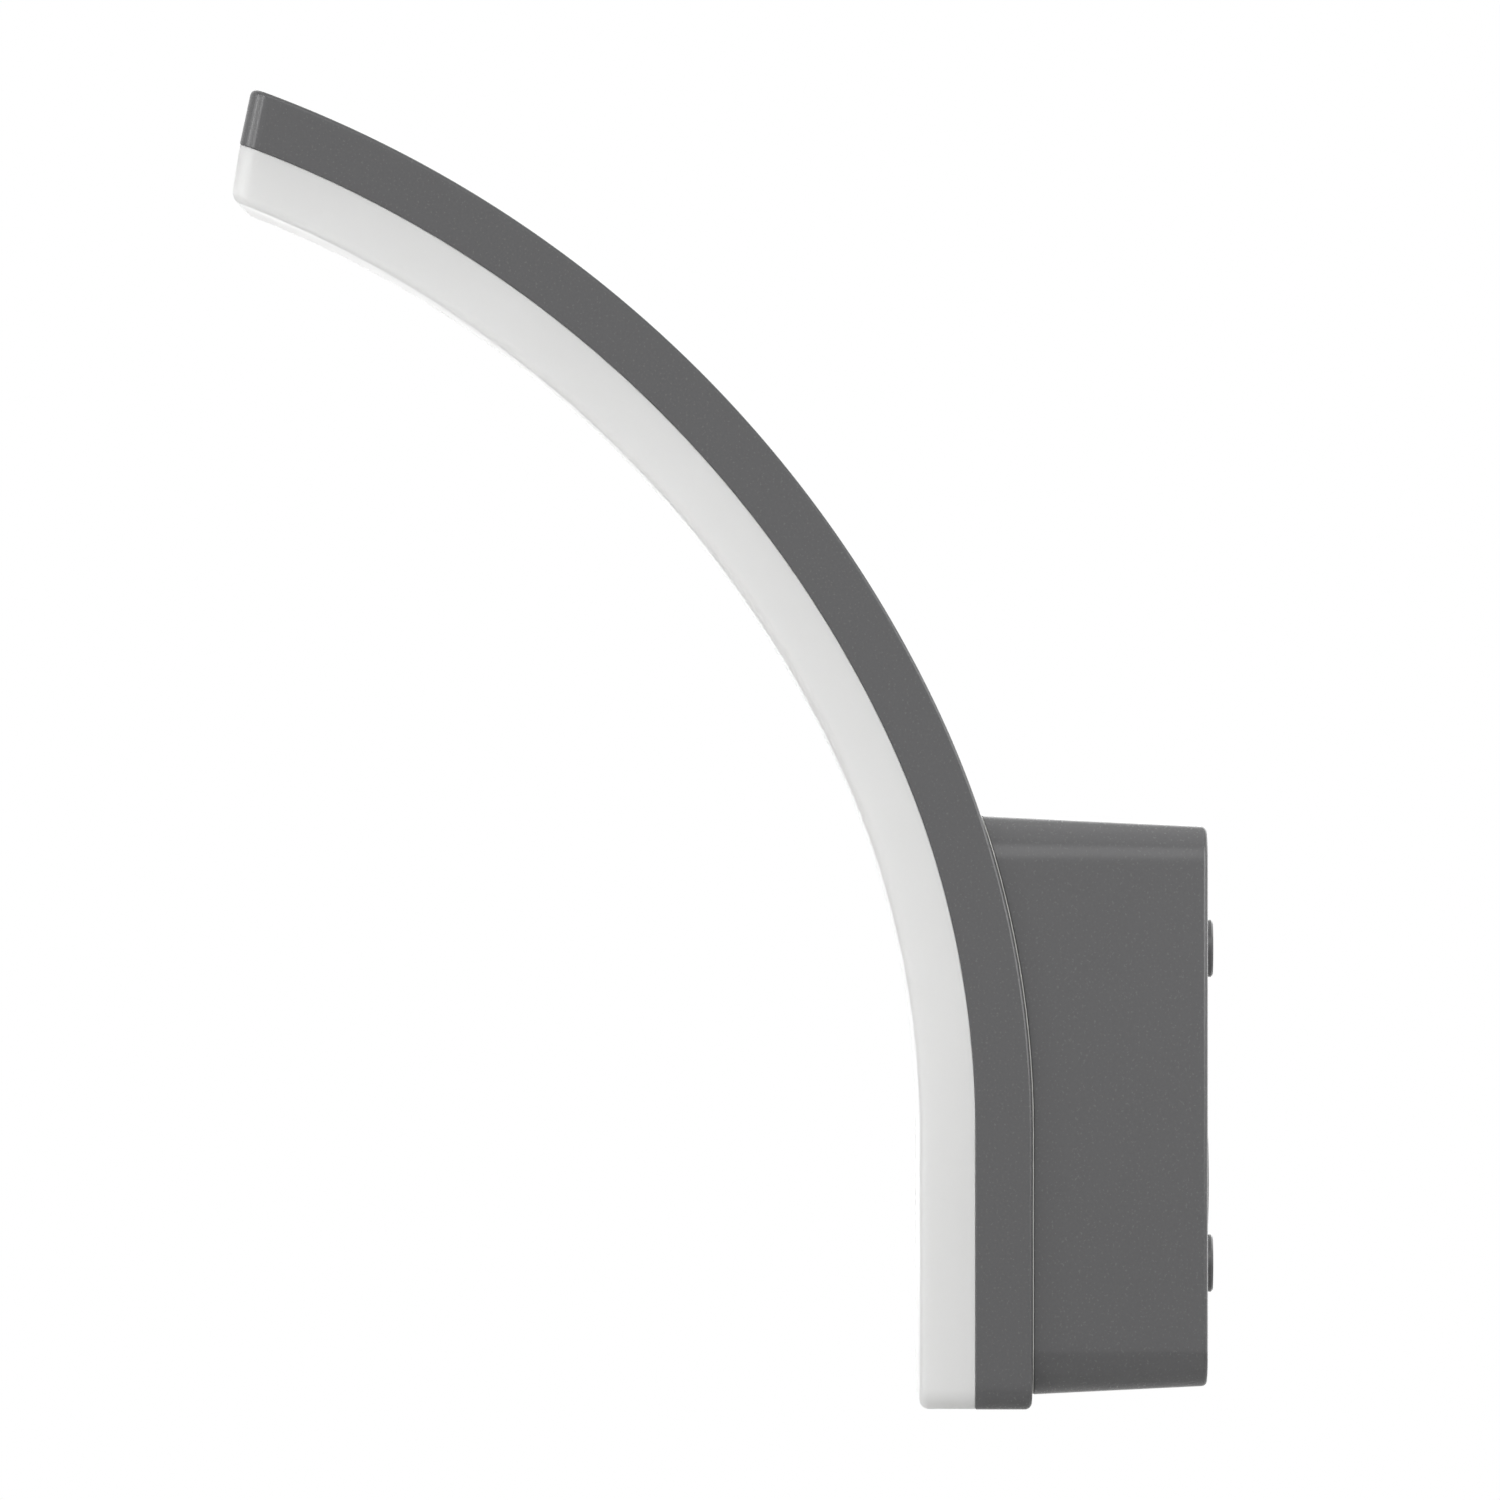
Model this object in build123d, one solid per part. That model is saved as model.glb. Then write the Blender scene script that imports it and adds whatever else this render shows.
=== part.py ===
from build123d import *
import math
import os

# Wall light with a fixed curved arm. Millimetres, +Z up. The wall is the plane y = 0 and the lamp reaches
# out along -Y. The origin is the middle of the four fixing holes, on the wall plane. X is across the arm.

# Arm. The seam, where the diffuser meets the channel, runs straight up and then along two arcs.
# An offset is a distance from the seam: positive towards the wall, negative towards the lit side.
arm_width = 80.0
arm_bottom_z = -57.5
bend_start_z = -4.5
lower_bend_radius = 177.1
lower_bend_angle = 25.8
upper_bend_radius = 218.7
upper_bend_angle = 44.2
wall_to_arm = 34.6
channel_depth = 10.8
channel_wall = 2.2
channel_end_lean = 8.0
end_corner_radius = 4.0
back_edge_radius = 1.0

# Diffuser
diffuser_depth = 10.6
diffuser_wall = 1.8
diffuser_inset = 0.1
diffuser_end_lean = 11.0
diffuser_edge_radius = 1.8
skirt_wall = 1.5
skirt_depth = 2.8
skirt_gap = 0.3
seal_width = 1.2

# Light engine, in layers from the seam towards the wall
led_gap = 0.5
led_height = 0.8
led_length = 3.5
led_width = 2.8
led_pitch = 8.0
led_row_x = 11.0
curve_gap = 0.03
board_thickness = 1.2
board_half_width = 32.0
carrier_thickness = 1.5
engine_end_gap = 3.0
rib_thickness = 2.0
board_screw_x = 27.5
board_screw_rows = 4
board_screw_end = 12.0
connector_size = (8.0, 8.0, 3.2)
connector_wall = 0.8

# Wall box: a cup that narrows towards the wall and is open to the arm
box_rear_width = 74.0
box_rear_height = 106.5
box_draft = 2.8
box_corner_radius = 7.0
box_wall = 2.6
box_rear_wall = 3.0
box_rear_edge_radius = 1.0
rim_gap = 0.3
gasket_gap = 0.1
gasket_width = 1.2
gasket_thickness = 1.6
gasket_lip_inset = 0.15
fixing_spacing_x = 50.0
fixing_spacing_z = 60.0
fixing_hole_diameter = 5.0
boss_diameter = 11.0
boss_height = 1.2
boss_chamfer = 0.35

# Cable entry
entry_hole_diameter = 16.0
entry_bore_diameter = 8.5
entry_flange_width = 2.0
entry_flange_outside = 0.9
entry_flange_inside = 1.3

# Locking screws above and below, M4
lock_y = -25.0
lock_screw_diameter = 4.0
lock_head_diameter = 7.0
lock_head_height = 2.2
lock_head_sink = 2.6
lock_pad_width = 16.0
lock_pad_length = 12.0
lock_pad_thickness = 1.4
lock_nut_width = 7.0
lock_nut_thickness = 2.2
lock_tip_length = 0.5
lock_key_width = 2.5
lock_key_depth = 1.4
lug_gap = 0.2
lug_width = 14.0
lug_length = 6.0
lug_slot_width = 4.4

# Spigot behind the arm that centres it in the box
spigot_gap = 0.3
spigot_wall = 1.4
spigot_height = 3.0

# Tray behind the arm, in sheet steel
tray_standoff = 2.9
tray_thickness = 1.5
tray_bend_radius = 1.35
tray_edge_gap = 1.0
tray_corner_radius = 3.0
tray_boss_diameter = 6.0
tray_screw_inset = 8.0
tray_shoulder = 3.0

# Small screws, M3 and the earth screw, M4
screw_diameter = 3.0
screw_head_diameter = 5.5
screw_head_height = 1.8
screw_clearance = 0.1
thread_gap = 0.05
screw_head_edge_radius = 0.5
cross_width = 0.6
cross_length = 3.0
cross_depth = 0.8
tip_wall_share = 0.5
pilot_wall_share = 0.6
earth_screw_diameter = 4.0
earth_head_diameter = 7.0
earth_head_height = 2.4
earth_slot_width = 1.0
earth_slot_depth = 1.0

# Driver
driver_depth = 16.0
wiring_height = 25.0
driver_wall = 1.5
driver_clearance = 1.6
driver_ear_height = 9.0
driver_board_thickness = 1.6
driver_board_margin = 1.5
driver_post_diameter = 4.0
driver_part_gap = 1.0
driver_rear_edge_radius = 0.9
transformer_size = (16.0, 8.6, 14.0)
winding_width = 8.0
winding_inset = 1.3
capacitor_diameter = 8.0
capacitor_length = 13.0
choke_diameter = 11.0
choke_height = 8.0
choke_hole_diameter = 4.4

# Terminal block
pole_pitch = 10.0
terminal_height = 15.0
terminal_depth = 13.0
terminal_side_wall = 1.0
terminal_clearance = 3.6
terminal_ear_width = 6.0
terminal_ear_height = 7.0
terminal_ear_thickness = 3.0
clamp_size = (6.0, 7.0, 9.0)
clamp_gap = 0.15
clamp_hole_diameter = 3.0
port_diameter = 3.6
terminal_screw_diameter = 3.0
terminal_screw_head_diameter = 4.2
terminal_screw_recess = 1.0
terminal_slot_width = 0.7
terminal_slot_depth = 0.7

# Leads and where they pass
mains_lead_diameter = 2.0
led_lead_diameter = 1.6
led_lead_pitch = 2.6
lead_stub = 3.0
lead_bow = 2.8
lead_arc_share = 0.45
earth_lead_lower_share = 0.2
earth_lead_upper_share = 0.1
grommet_bore_diameter = 5.0
grommet_groove_diameter = 7.0
grommet_flange_diameter = 9.0
grommet_flange_thickness = 0.9
grommet_drop = 18.0
grommet_x = 18.5
tag_thickness = 0.8
tag_ring_diameter = 8.0
tag_barrel_length = 5.5
tag_barrel_wall = 0.5

# Making: how far joined solids run into each other, how far a cutter runs past what it cuts, how far the
# seam's curves run past its ends, the least corner radius, and the limits by which edges are found
overlap = 0.5
run_past = 1.0
run_out_length = 12.0
run_out_angle = 4.0
least_corner_radius = 0.8
tolerance = 1e-3
flat_limit = 0.05
across_limit = 0.9
BASE = (Align.CENTER, Align.CENTER, Align.MIN)

# Worked out from the sizes above
half_width = arm_width / 2
seam_y = -(wall_to_arm + channel_depth)
tip_angle = lower_bend_angle + upper_bend_angle
lower_centre = (seam_y - lower_bend_radius, bend_start_z)
centre_shift = lower_bend_radius - upper_bend_radius
upper_centre = (
    lower_centre[0] + centre_shift * math.cos(math.radians(lower_bend_angle)),
    lower_centre[1] + centre_shift * math.sin(math.radians(lower_bend_angle)),
)
straight_length = bend_start_z - arm_bottom_z
lower_length = lower_bend_radius * math.radians(lower_bend_angle)
upper_length = upper_bend_radius * math.radians(upper_bend_angle)
seam_length = straight_length + lower_length + upper_length

skirt_half_width = half_width - channel_wall - skirt_gap
engine_front = skirt_depth + led_gap
board_front = engine_front + led_height
carrier_front = board_front + board_thickness
rib_front = carrier_front + carrier_thickness
cavity_back = channel_depth - channel_wall
boss_screw_depth = tray_standoff + channel_wall * pilot_wall_share

box_rear_y = -boss_height
box_inside_y = box_rear_y - box_rear_wall
draft_slope = math.tan(math.radians(box_draft))


def box_half_width(y):
    """Half the outer width of the wall box at a depth."""
    return box_rear_width / 2 + (box_rear_y - y) * draft_slope


def box_half_height(y):
    """Half the outer height of the wall box at a depth."""
    return box_rear_height / 2 + (box_rear_y - y) * draft_slope


def box_radius(y, inset):
    """Corner radius of the wall box at a depth, inside its outer face by an inset."""
    return max(box_corner_radius - inset, least_corner_radius) + (box_rear_y - y) * draft_slope


pad_face_z = box_half_height(lock_y) - box_wall - lock_pad_thickness
lug_outer_z = pad_face_z - lug_gap
lug_inner_z = lug_outer_z - tray_thickness
nut_outer_z = lug_inner_z - lug_gap
nut_inner_z = nut_outer_z - lock_nut_thickness
lock_tip_z = nut_inner_z - lock_tip_length
lock_head_floor_z = box_half_height(lock_y) - lock_head_sink

tray_back_y = -wall_to_arm + tray_standoff
tray_face_y = tray_back_y + tray_thickness
spigot_half_width = box_half_width(tray_back_y) - box_wall - spigot_gap
spigot_half_height = box_half_height(tray_back_y) - box_wall - spigot_gap
tray_half_width = spigot_half_width - spigot_wall - tray_edge_gap
tray_half_height = lug_outer_z - tray_shoulder
tray_screw_x = tray_half_width - tray_boss_diameter / 2 - tray_edge_gap / 2
tray_screw_z = tray_half_height - tray_screw_inset

driver_half_width = tray_screw_x - screw_head_diameter / 2 - tray_edge_gap / 2
driver_top_z = lock_tip_z - driver_clearance
terminal_bottom_z = -lock_tip_z + terminal_clearance
terminal_top_z = terminal_bottom_z + terminal_height
terminal_mid_z = (terminal_bottom_z + terminal_top_z) / 2
driver_bottom_z = terminal_top_z + wiring_height
driver_lid_y = tray_face_y + driver_wall
driver_rear_y = tray_face_y + driver_depth
driver_ear_z = (driver_bottom_z + driver_top_z) / 2
driver_board_y = driver_lid_y + driver_board_margin
parts_y = driver_board_y + driver_board_thickness
inner_half_width = driver_half_width - driver_wall
board_bottom_z = driver_bottom_z + driver_wall + tray_edge_gap / 2
board_top_z = driver_top_z - driver_wall - tray_edge_gap / 2

terminal_half_width = 1.5 * pole_pitch + terminal_side_wall
terminal_rear_y = tray_face_y + terminal_depth
terminal_fixing_x = terminal_half_width + terminal_ear_width / 2
mains_lead_y = parts_y + mains_lead_diameter / 2
led_lead_y = parts_y + led_lead_diameter / 2

entry_z = (driver_bottom_z + terminal_top_z) / 2
grommet_z = driver_bottom_z - grommet_drop
earth_x = -pole_pitch
earth_z = driver_bottom_z - tag_ring_diameter / 2 - tray_edge_gap
barrel_radius = mains_lead_diameter / 2 + tag_barrel_wall
barrel_y = tray_face_y + barrel_radius
barrel_bottom_z = earth_z - tag_ring_diameter / 2 - tag_barrel_length


def seam_point(length, offset=0.0):
    """Y, Z and direction angle of a point that far along the seam from the bottom, at an offset."""
    if length <= straight_length:
        return seam_y + offset, arm_bottom_z + length, 0.0
    if length <= straight_length + lower_length:
        angle = (length - straight_length) / lower_bend_radius
        centre, radius = lower_centre, lower_bend_radius
    else:
        angle = math.radians(lower_bend_angle)
        angle += (length - straight_length - lower_length) / upper_bend_radius
        centre, radius = upper_centre, upper_bend_radius
    y = centre[0] + (radius + offset) * math.cos(angle)
    z = centre[1] + (radius + offset) * math.sin(angle)
    return y, z, math.degrees(angle)


def seam_place(length, offset, x):
    """A place on the arm whose local Z points towards the wall side, square to the seam."""
    y, z, angle = seam_point(length, offset)
    outward = (0, math.cos(math.radians(angle)), math.sin(math.radians(angle)))
    return Plane(origin=(x, y, z), x_dir=(1, 0, 0), z_dir=outward)


def arm_back_y(z):
    """Y of the back of the arm at a height within the lower bend."""
    rise = max(z - bend_start_z, 0.0)
    radius = lower_bend_radius + channel_depth
    return lower_centre[0] + math.sqrt(radius**2 - rise**2)


def block(x_from, x_to, y_from, y_to, z_from, z_to):
    """A box between two corners."""
    size = (abs(x_to - x_from), abs(y_to - y_from), abs(z_to - z_from))
    centre = ((x_from + x_to) / 2, (y_from + y_to) / 2, (z_from + z_to) / 2)
    return Pos(*centre) * Box(*size)


def rod_y(radius, x, z, y_from, y_to):
    """A round bar along Y."""
    place = Pos(x, (y_from + y_to) / 2, z) * Rot(90, 0, 0)
    return place * Cylinder(radius, abs(y_to - y_from))


def rod_z(radius, x, y, z_from, z_to):
    """A round bar along Z."""
    return Pos(x, y, (z_from + z_to) / 2) * Cylinder(radius, abs(z_to - z_from))


def tube_y(outer, inner, x, z, y_from, y_to):
    """A round tube along Y."""
    return rod_y(outer, x, z, y_from, y_to) - rod_y(inner, x, z, y_from - run_past, y_to + run_past)


def edges_at_y(part, y):
    """The edges that lie wholly at a depth."""
    return part.edges().filter_by_position(Axis.Y, y - tolerance, y + tolerance)


def group(pieces):
    """Separate solids of one kind, kept as one group."""
    return Compound(children=[solid for piece in pieces for solid in piece.solids()])


def four(x, z):
    """Four places, mirrored about both axes."""
    return [(sx * x, sz * z) for sx in (-1, 1) for sz in (-1, 1)]


# ---- slices of the arm ----
def offset_edges(offset):
    """The seam moved by an offset, a little too long at both ends."""
    y = seam_y + offset
    straight = Line((y, arm_bottom_z - run_out_length), (y, bend_start_z))
    lower = CenterArc(lower_centre, lower_bend_radius + offset, 0, lower_bend_angle)
    upper = CenterArc(
        upper_centre, upper_bend_radius + offset, lower_bend_angle, upper_bend_angle + run_out_angle
    )
    return [straight, lower, upper]


def long_slice(inner, outer, half):
    """What lies between two offsets, as wide as given and too long at both ends."""
    near = offset_edges(inner)
    far = offset_edges(outer)
    ends = [Line(near[0] @ 0, far[0] @ 0), Line(near[-1] @ 1, far[-1] @ 1)]
    face = make_face(near + far + ends)
    return extrude(Plane.YZ * face, amount=half, both=True)


def end_normal(lean):
    """Outward normal of the upper end, which leans forwards from square."""
    angle = math.radians(tip_angle + lean)
    return Vector(0, -math.sin(angle), math.cos(angle))


def arm_slice(inner, outer, half, inset=0.0, lean=channel_end_lean):
    """A slice of the arm with its two ends cut, each moved in by the inset."""
    reach = 3 * arm_width
    tip_y, tip_z, _ = seam_point(seam_length)
    normal = end_normal(lean)
    origin = Vector(0, tip_y, tip_z) - normal * inset
    beyond = Plane(origin=origin, x_dir=(1, 0, 0), z_dir=normal)
    above = beyond * Box(reach, arm_width, arm_width, align=(Align.CENTER, Align.CENTER, Align.MIN))
    bottom_z = arm_bottom_z + inset
    below = block(-reach, reach, -reach, reach, bottom_z - arm_width, bottom_z)
    return long_slice(inner, outer, half) - above - below


def end_corners(slice_part, half):
    """The four edges where the two ends meet the sides."""
    ends = [
        face
        for face in slice_part.faces().filter_by(GeomType.PLANE)
        if abs(face.normal_at().Z) > flat_limit
    ]
    edges = [edge for face in ends for edge in face.edges()]
    return [edge for edge in edges if abs(abs(edge.center().X) - half) < tolerance]


def offset_of(point):
    """Offset of a point from the seam."""
    if point.Z <= bend_start_z:
        return point.Y - seam_y
    from_lower = (point.Y - lower_centre[0], point.Z - lower_centre[1])
    angle = math.degrees(math.atan2(from_lower[1], from_lower[0]))
    if angle <= lower_bend_angle:
        return math.hypot(*from_lower) - lower_bend_radius
    return math.hypot(point.Y - upper_centre[0], point.Z - upper_centre[1]) - upper_bend_radius


def rim_edges(part, offset, lean):
    """The closed loop of edges round the face at an offset."""
    tip_y, tip_z, _ = seam_point(seam_length)
    normal = end_normal(lean)
    loop = []
    for edge in part.edges():
        on_face = all(abs(offset_of(edge @ t) - offset) < tolerance for t in (0.1, 0.5, 0.9))
        middle = edge @ 0.5
        to_tip = abs((middle - Vector(0, tip_y, tip_z)).dot(normal))
        at_end = middle.Z < arm_bottom_z + end_corner_radius or to_tip < end_corner_radius
        across = abs((edge % 0.5).X) > across_limit
        if on_face and (at_end or not across):
            loop.append(edge)
    return loop


# ---- arm ----
def board_screw_places():
    """Stations and sides of the screws that hold the light engine."""
    pitch = (seam_length - 2 * board_screw_end) / (board_screw_rows - 1)
    stations = [board_screw_end + row * pitch for row in range(board_screw_rows)]
    return [(station, side * board_screw_x) for station in stations for side in (-1, 1)]


def tray_screw_places():
    """Centres of the four tray screws."""
    return four(tray_screw_x, tray_screw_z)


def arm_channel():
    """Curved channel with closed ends, ribs inside and a spigot and bosses behind."""
    shell = arm_slice(0, channel_depth, half_width)
    shell = fillet(end_corners(shell, half_width), end_corner_radius)
    shell = fillet(rim_edges(shell, channel_depth, channel_end_lean), back_edge_radius)
    inner_half = half_width - channel_wall
    cavity = arm_slice(-1, cavity_back, inner_half, channel_wall)
    cavity = fillet(end_corners(cavity, inner_half), end_corner_radius - channel_wall)
    shell -= cavity
    for side in (-1, 1):
        rib = arm_slice(rib_front, cavity_back + overlap, rib_thickness / 2, channel_wall - overlap)
        shell += Pos(side * board_screw_x, 0, 0) * rib
    for station, x in board_screw_places():
        place = seam_place(station, rib_front, x)
        boss = Cylinder(tray_boss_diameter / 2, cavity_back + overlap - rib_front, align=BASE)
        shell += place * boss
    shell += spigot()
    for x, z in tray_screw_places():
        root_y = arm_back_y(z) - channel_wall / 2
        shell += rod_y(tray_boss_diameter / 2, x, z, root_y, tray_back_y)
    pilot = screw_diameter / 2 + thread_gap
    for x, z in tray_screw_places():
        shell -= rod_y(pilot, x, z, tray_back_y + run_past, tray_back_y - boss_screw_depth - thread_gap)
    for station, x in board_screw_places():
        depth = cavity_back - carrier_front + channel_wall * pilot_wall_share
        shell -= seam_place(station, carrier_front, x) * Cylinder(pilot, depth, align=BASE)
    shell -= rod_y(grommet_groove_diameter / 2, grommet_x, grommet_z, seam_y, 0)
    return shell


def rounded_bar(half_x, half_z, radius, y_from, y_to):
    """A bar along Y with a rounded rectangular section."""
    face = Plane.XZ * RectangleRounded(2 * half_x, 2 * half_z, radius)
    return Pos(0, max(y_from, y_to), 0) * extrude(face, amount=abs(y_to - y_from))


def spigot():
    """Low rib behind the arm that slides into the rim of the wall box."""
    front_y = seam_y - 2 * channel_depth
    radius = box_radius(tray_back_y, box_wall) - spigot_gap
    outer = rounded_bar(spigot_half_width, spigot_half_height, radius, front_y, 0)
    inner = rounded_bar(
        spigot_half_width - spigot_wall,
        spigot_half_height - spigot_wall,
        radius - spigot_wall,
        front_y,
        0,
    )
    ring = outer - inner
    root = channel_depth - channel_wall / 4
    return ring & long_slice(root, channel_depth + spigot_height, half_width)


def diffuser():
    """Opal tray whose skirt stands inside the channel."""
    outer_half = half_width - diffuser_inset
    body = arm_slice(-diffuser_depth, 0, outer_half, diffuser_inset, diffuser_end_lean)
    body = fillet(end_corners(body, outer_half), end_corner_radius - diffuser_inset)
    body = fillet(rim_edges(body, -diffuser_depth, diffuser_end_lean), diffuser_edge_radius)
    skirt_inset = channel_wall + skirt_gap
    skirt = arm_slice(-overlap, skirt_depth, skirt_half_width, skirt_inset)
    skirt = fillet(end_corners(skirt, skirt_half_width), end_corner_radius - channel_wall)
    body += skirt
    hollow_half = outer_half - diffuser_wall
    hollow_inset = diffuser_inset + diffuser_wall
    hollow_front = diffuser_wall - diffuser_depth
    body -= arm_slice(hollow_front, -diffuser_wall, hollow_half, hollow_inset, diffuser_end_lean)
    neck_half = skirt_half_width - skirt_wall
    neck_front, neck_back = -diffuser_wall - overlap, skirt_depth + run_past
    body -= arm_slice(neck_front, neck_back, neck_half, skirt_inset + skirt_wall)
    return body


def diffuser_seal():
    """Silicone frame between the skirt of the diffuser and the carrier."""
    inset = channel_wall + skirt_gap
    outer = arm_slice(skirt_depth, carrier_front, skirt_half_width, inset)
    outer = fillet(end_corners(outer, skirt_half_width), end_corner_radius - channel_wall)
    inner_half = skirt_half_width - seal_width
    front, back = skirt_depth - run_past, carrier_front + run_past
    return outer - arm_slice(front, back, inner_half, inset + seal_width)


def light_engine_holes(layer, hole_radius):
    """A layer of the light engine with its screw holes and the way through for the LED leads."""
    for station, x in board_screw_places():
        layer -= seam_place(station, 0, x) * Cylinder(hole_radius, 2 * channel_depth)
    return layer - rod_y(grommet_bore_diameter / 2, grommet_x, grommet_z, seam_y, 0)


def led_carrier():
    """Curved aluminium strip that rests on the ribs."""
    strip = arm_slice(carrier_front, rib_front, skirt_half_width, channel_wall + skirt_gap)
    strip = fillet(end_corners(strip, skirt_half_width), end_corner_radius - channel_wall)
    return light_engine_holes(strip, screw_diameter / 2 + screw_clearance)


def led_board():
    """Flexible circuit board on the carrier."""
    inset = channel_wall + skirt_gap + seal_width + engine_end_gap
    strip = arm_slice(board_front, carrier_front, board_half_width, inset)
    return light_engine_holes(strip, screw_diameter / 2 + screw_clearance)


def led_chips():
    """Two rows of LED packages at an even pitch."""
    end = channel_wall + skirt_gap + seal_width + engine_end_gap + led_pitch
    count = int((seam_length - 2 * end) // led_pitch) + 1
    first = (seam_length - (count - 1) * led_pitch) / 2
    chips = []
    for index in range(count):
        for side in (-1, 1):
            place = seam_place(first + index * led_pitch, engine_front - curve_gap, side * led_row_x)
            chips.append(place * Box(led_width, led_length, led_height, align=BASE))
    return group(chips)


def led_board_screws():
    """Pan-head screws through the board and the carrier."""
    screws = []
    for station, x in board_screw_places():
        place = seam_place(station, board_front - curve_gap, x)
        head = Pos(0, 0, -screw_head_height) * Cylinder(
            screw_head_diameter / 2, screw_head_height, align=BASE
        )
        length = cavity_back - board_front + channel_wall * tip_wall_share
        screws.append(place * (head + Cylinder(screw_diameter / 2, length, align=BASE)))
    return group(screws)


def lead_hole_pair(y_from, y_to, radius):
    """Two round holes for the LED leads."""
    return [rod_y(radius, x, grommet_z, y_from, y_to) for x in led_lead_xs()]


def led_lead_xs():
    """X of the two LED leads."""
    return (grommet_x - led_lead_pitch / 2, grommet_x + led_lead_pitch / 2)


def board_connector():
    """Connector on the board that the LED leads enter from behind."""
    width, height, depth = connector_size
    front_y = seam_y + board_front - depth
    back_y = seam_y + board_front
    body = block(
        grommet_x - width / 2,
        grommet_x + width / 2,
        front_y,
        back_y,
        grommet_z - height / 2,
        grommet_z + height / 2,
    )
    radius = led_lead_diameter / 2 + thread_gap
    for hole in lead_hole_pair(front_y + connector_wall, back_y + run_past, radius):
        body -= hole
    return body


def wire_grommet():
    """Rubber grommet in the back wall of the arm."""
    back_y = -wall_to_arm
    front_y = back_y - channel_wall
    hub = rod_y(
        grommet_groove_diameter / 2 - thread_gap,
        grommet_x,
        grommet_z,
        front_y - grommet_flange_thickness,
        back_y + grommet_flange_thickness,
    )
    flange = grommet_flange_diameter / 2
    hub += rod_y(flange, grommet_x, grommet_z, back_y, back_y + grommet_flange_thickness)
    hub += rod_y(flange, grommet_x, grommet_z, front_y - grommet_flange_thickness, front_y)
    return hub - rod_y(grommet_bore_diameter / 2, grommet_x, grommet_z, seam_y, 0)


# ---- wall box ----
def box_prism(inset):
    """The tapered outline of the wall box, moved in by an inset, from its rear face to past the arm."""
    length = wall_to_arm + 2 * channel_depth
    half_x = box_rear_width / 2 - inset
    half_z = box_rear_height / 2 - inset
    radius = max(box_corner_radius - inset, least_corner_radius)
    rear = Plane(origin=(0, box_rear_y, 0), x_dir=(1, 0, 0), z_dir=(0, -1, 0))
    face = rear * RectangleRounded(2 * half_x, 2 * half_z, radius)
    return extrude(face, amount=length, taper=-box_draft)


def in_front_of(offset):
    """Everything on the lit side of an offset."""
    return long_slice(-2 * channel_depth, offset, arm_width)


def lock_sides():
    """The two locking screws: above and below."""
    return (1, -1)


def wall_box():
    """Die-cast cup with four bosses behind, two locking pads and a cable hole."""
    outer = box_prism(0)
    rear_edges = edges_at_y(outer, box_rear_y)
    cup = fillet(rear_edges, box_rear_edge_radius)
    reach = arm_width
    cavity = box_prism(box_wall) - block(-reach, reach, box_inside_y, reach, -reach, reach)
    cup -= cavity
    for side in lock_sides():
        cup += block(
            -lock_pad_width / 2,
            lock_pad_width / 2,
            lock_y - lock_pad_length / 2,
            lock_y + lock_pad_length / 2,
            side * pad_face_z,
            side * (pad_face_z + lock_pad_thickness + box_wall / 2),
        )
    cup -= in_front_of(channel_depth + rim_gap)
    rebate_depth = channel_depth + gasket_gap + gasket_thickness
    cup -= box_prism(box_wall - gasket_width) & in_front_of(rebate_depth)
    for side in lock_sides():
        shank = lock_screw_diameter / 2 + screw_clearance
        cup -= rod_z(shank, 0, lock_y, side * (pad_face_z - run_past), side * box_rear_height)
        sink = lock_head_diameter / 2 + 2 * screw_clearance
        cup -= rod_z(sink, 0, lock_y, side * lock_head_floor_z, side * box_rear_height)
    for x, z in four(fixing_spacing_x / 2, fixing_spacing_z / 2):
        boss = rod_y(boss_diameter / 2, x, z, box_rear_y - box_rear_wall / 2, 0)
        cup += chamfer(edges_at_y(boss, 0), boss_chamfer)
    for x, z in four(fixing_spacing_x / 2, fixing_spacing_z / 2):
        cup -= rod_y(fixing_hole_diameter / 2, x, z, box_inside_y - run_past, run_past)
    return cup - rod_y(entry_hole_diameter / 2, 0, entry_z, box_inside_y - run_past, run_past)


def box_gasket():
    """Silicone seal in the rebate of the rim, with a thin lip over the rim, just clear of the arm."""
    front = channel_depth + gasket_gap
    body = box_prism(box_wall - gasket_width + thread_gap) - box_prism(box_wall)
    lip = box_prism(gasket_lip_inset) - box_prism(box_wall)
    body &= long_slice(front, front + gasket_thickness, arm_width)
    return body + (lip & long_slice(front, channel_depth + rim_gap, arm_width))


def cable_grommet():
    """Rubber grommet for the mains cable, inside the wall plane."""
    outside_y = box_rear_y + entry_flange_outside
    inside_y = box_inside_y - entry_flange_inside
    flange = entry_hole_diameter / 2 + entry_flange_width
    hub = rod_y(entry_hole_diameter / 2 - thread_gap, 0, entry_z, inside_y, outside_y)
    hub += rod_y(flange, 0, entry_z, box_rear_y, outside_y)
    hub += rod_y(flange, 0, entry_z, inside_y, box_inside_y)
    return hub - rod_y(entry_bore_diameter / 2, 0, entry_z, inside_y - run_past, outside_y + run_past)


def hex_socket(depth, across):
    """A hexagonal hole for a key, from z = 0 down."""
    return extrude(RegularPolygon(across / 2, 6, major_radius=False), amount=-depth)


def locking_screws():
    """Socket screws that pass the box, a lug and a nut."""
    screws = []
    for side in lock_sides():
        top_z = side * (lock_head_floor_z + lock_head_height)
        head = rod_z(lock_head_diameter / 2, 0, lock_y, side * lock_head_floor_z, top_z)
        shank = rod_z(
            lock_screw_diameter / 2, 0, lock_y, side * lock_tip_z, side * lock_head_floor_z
        )
        turned = Rot(0 if side > 0 else 180, 0, 0)
        key = Pos(0, lock_y, top_z) * turned * hex_socket(lock_key_depth, lock_key_width)
        screws.append(head + shank - key)
    return group(screws)


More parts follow.
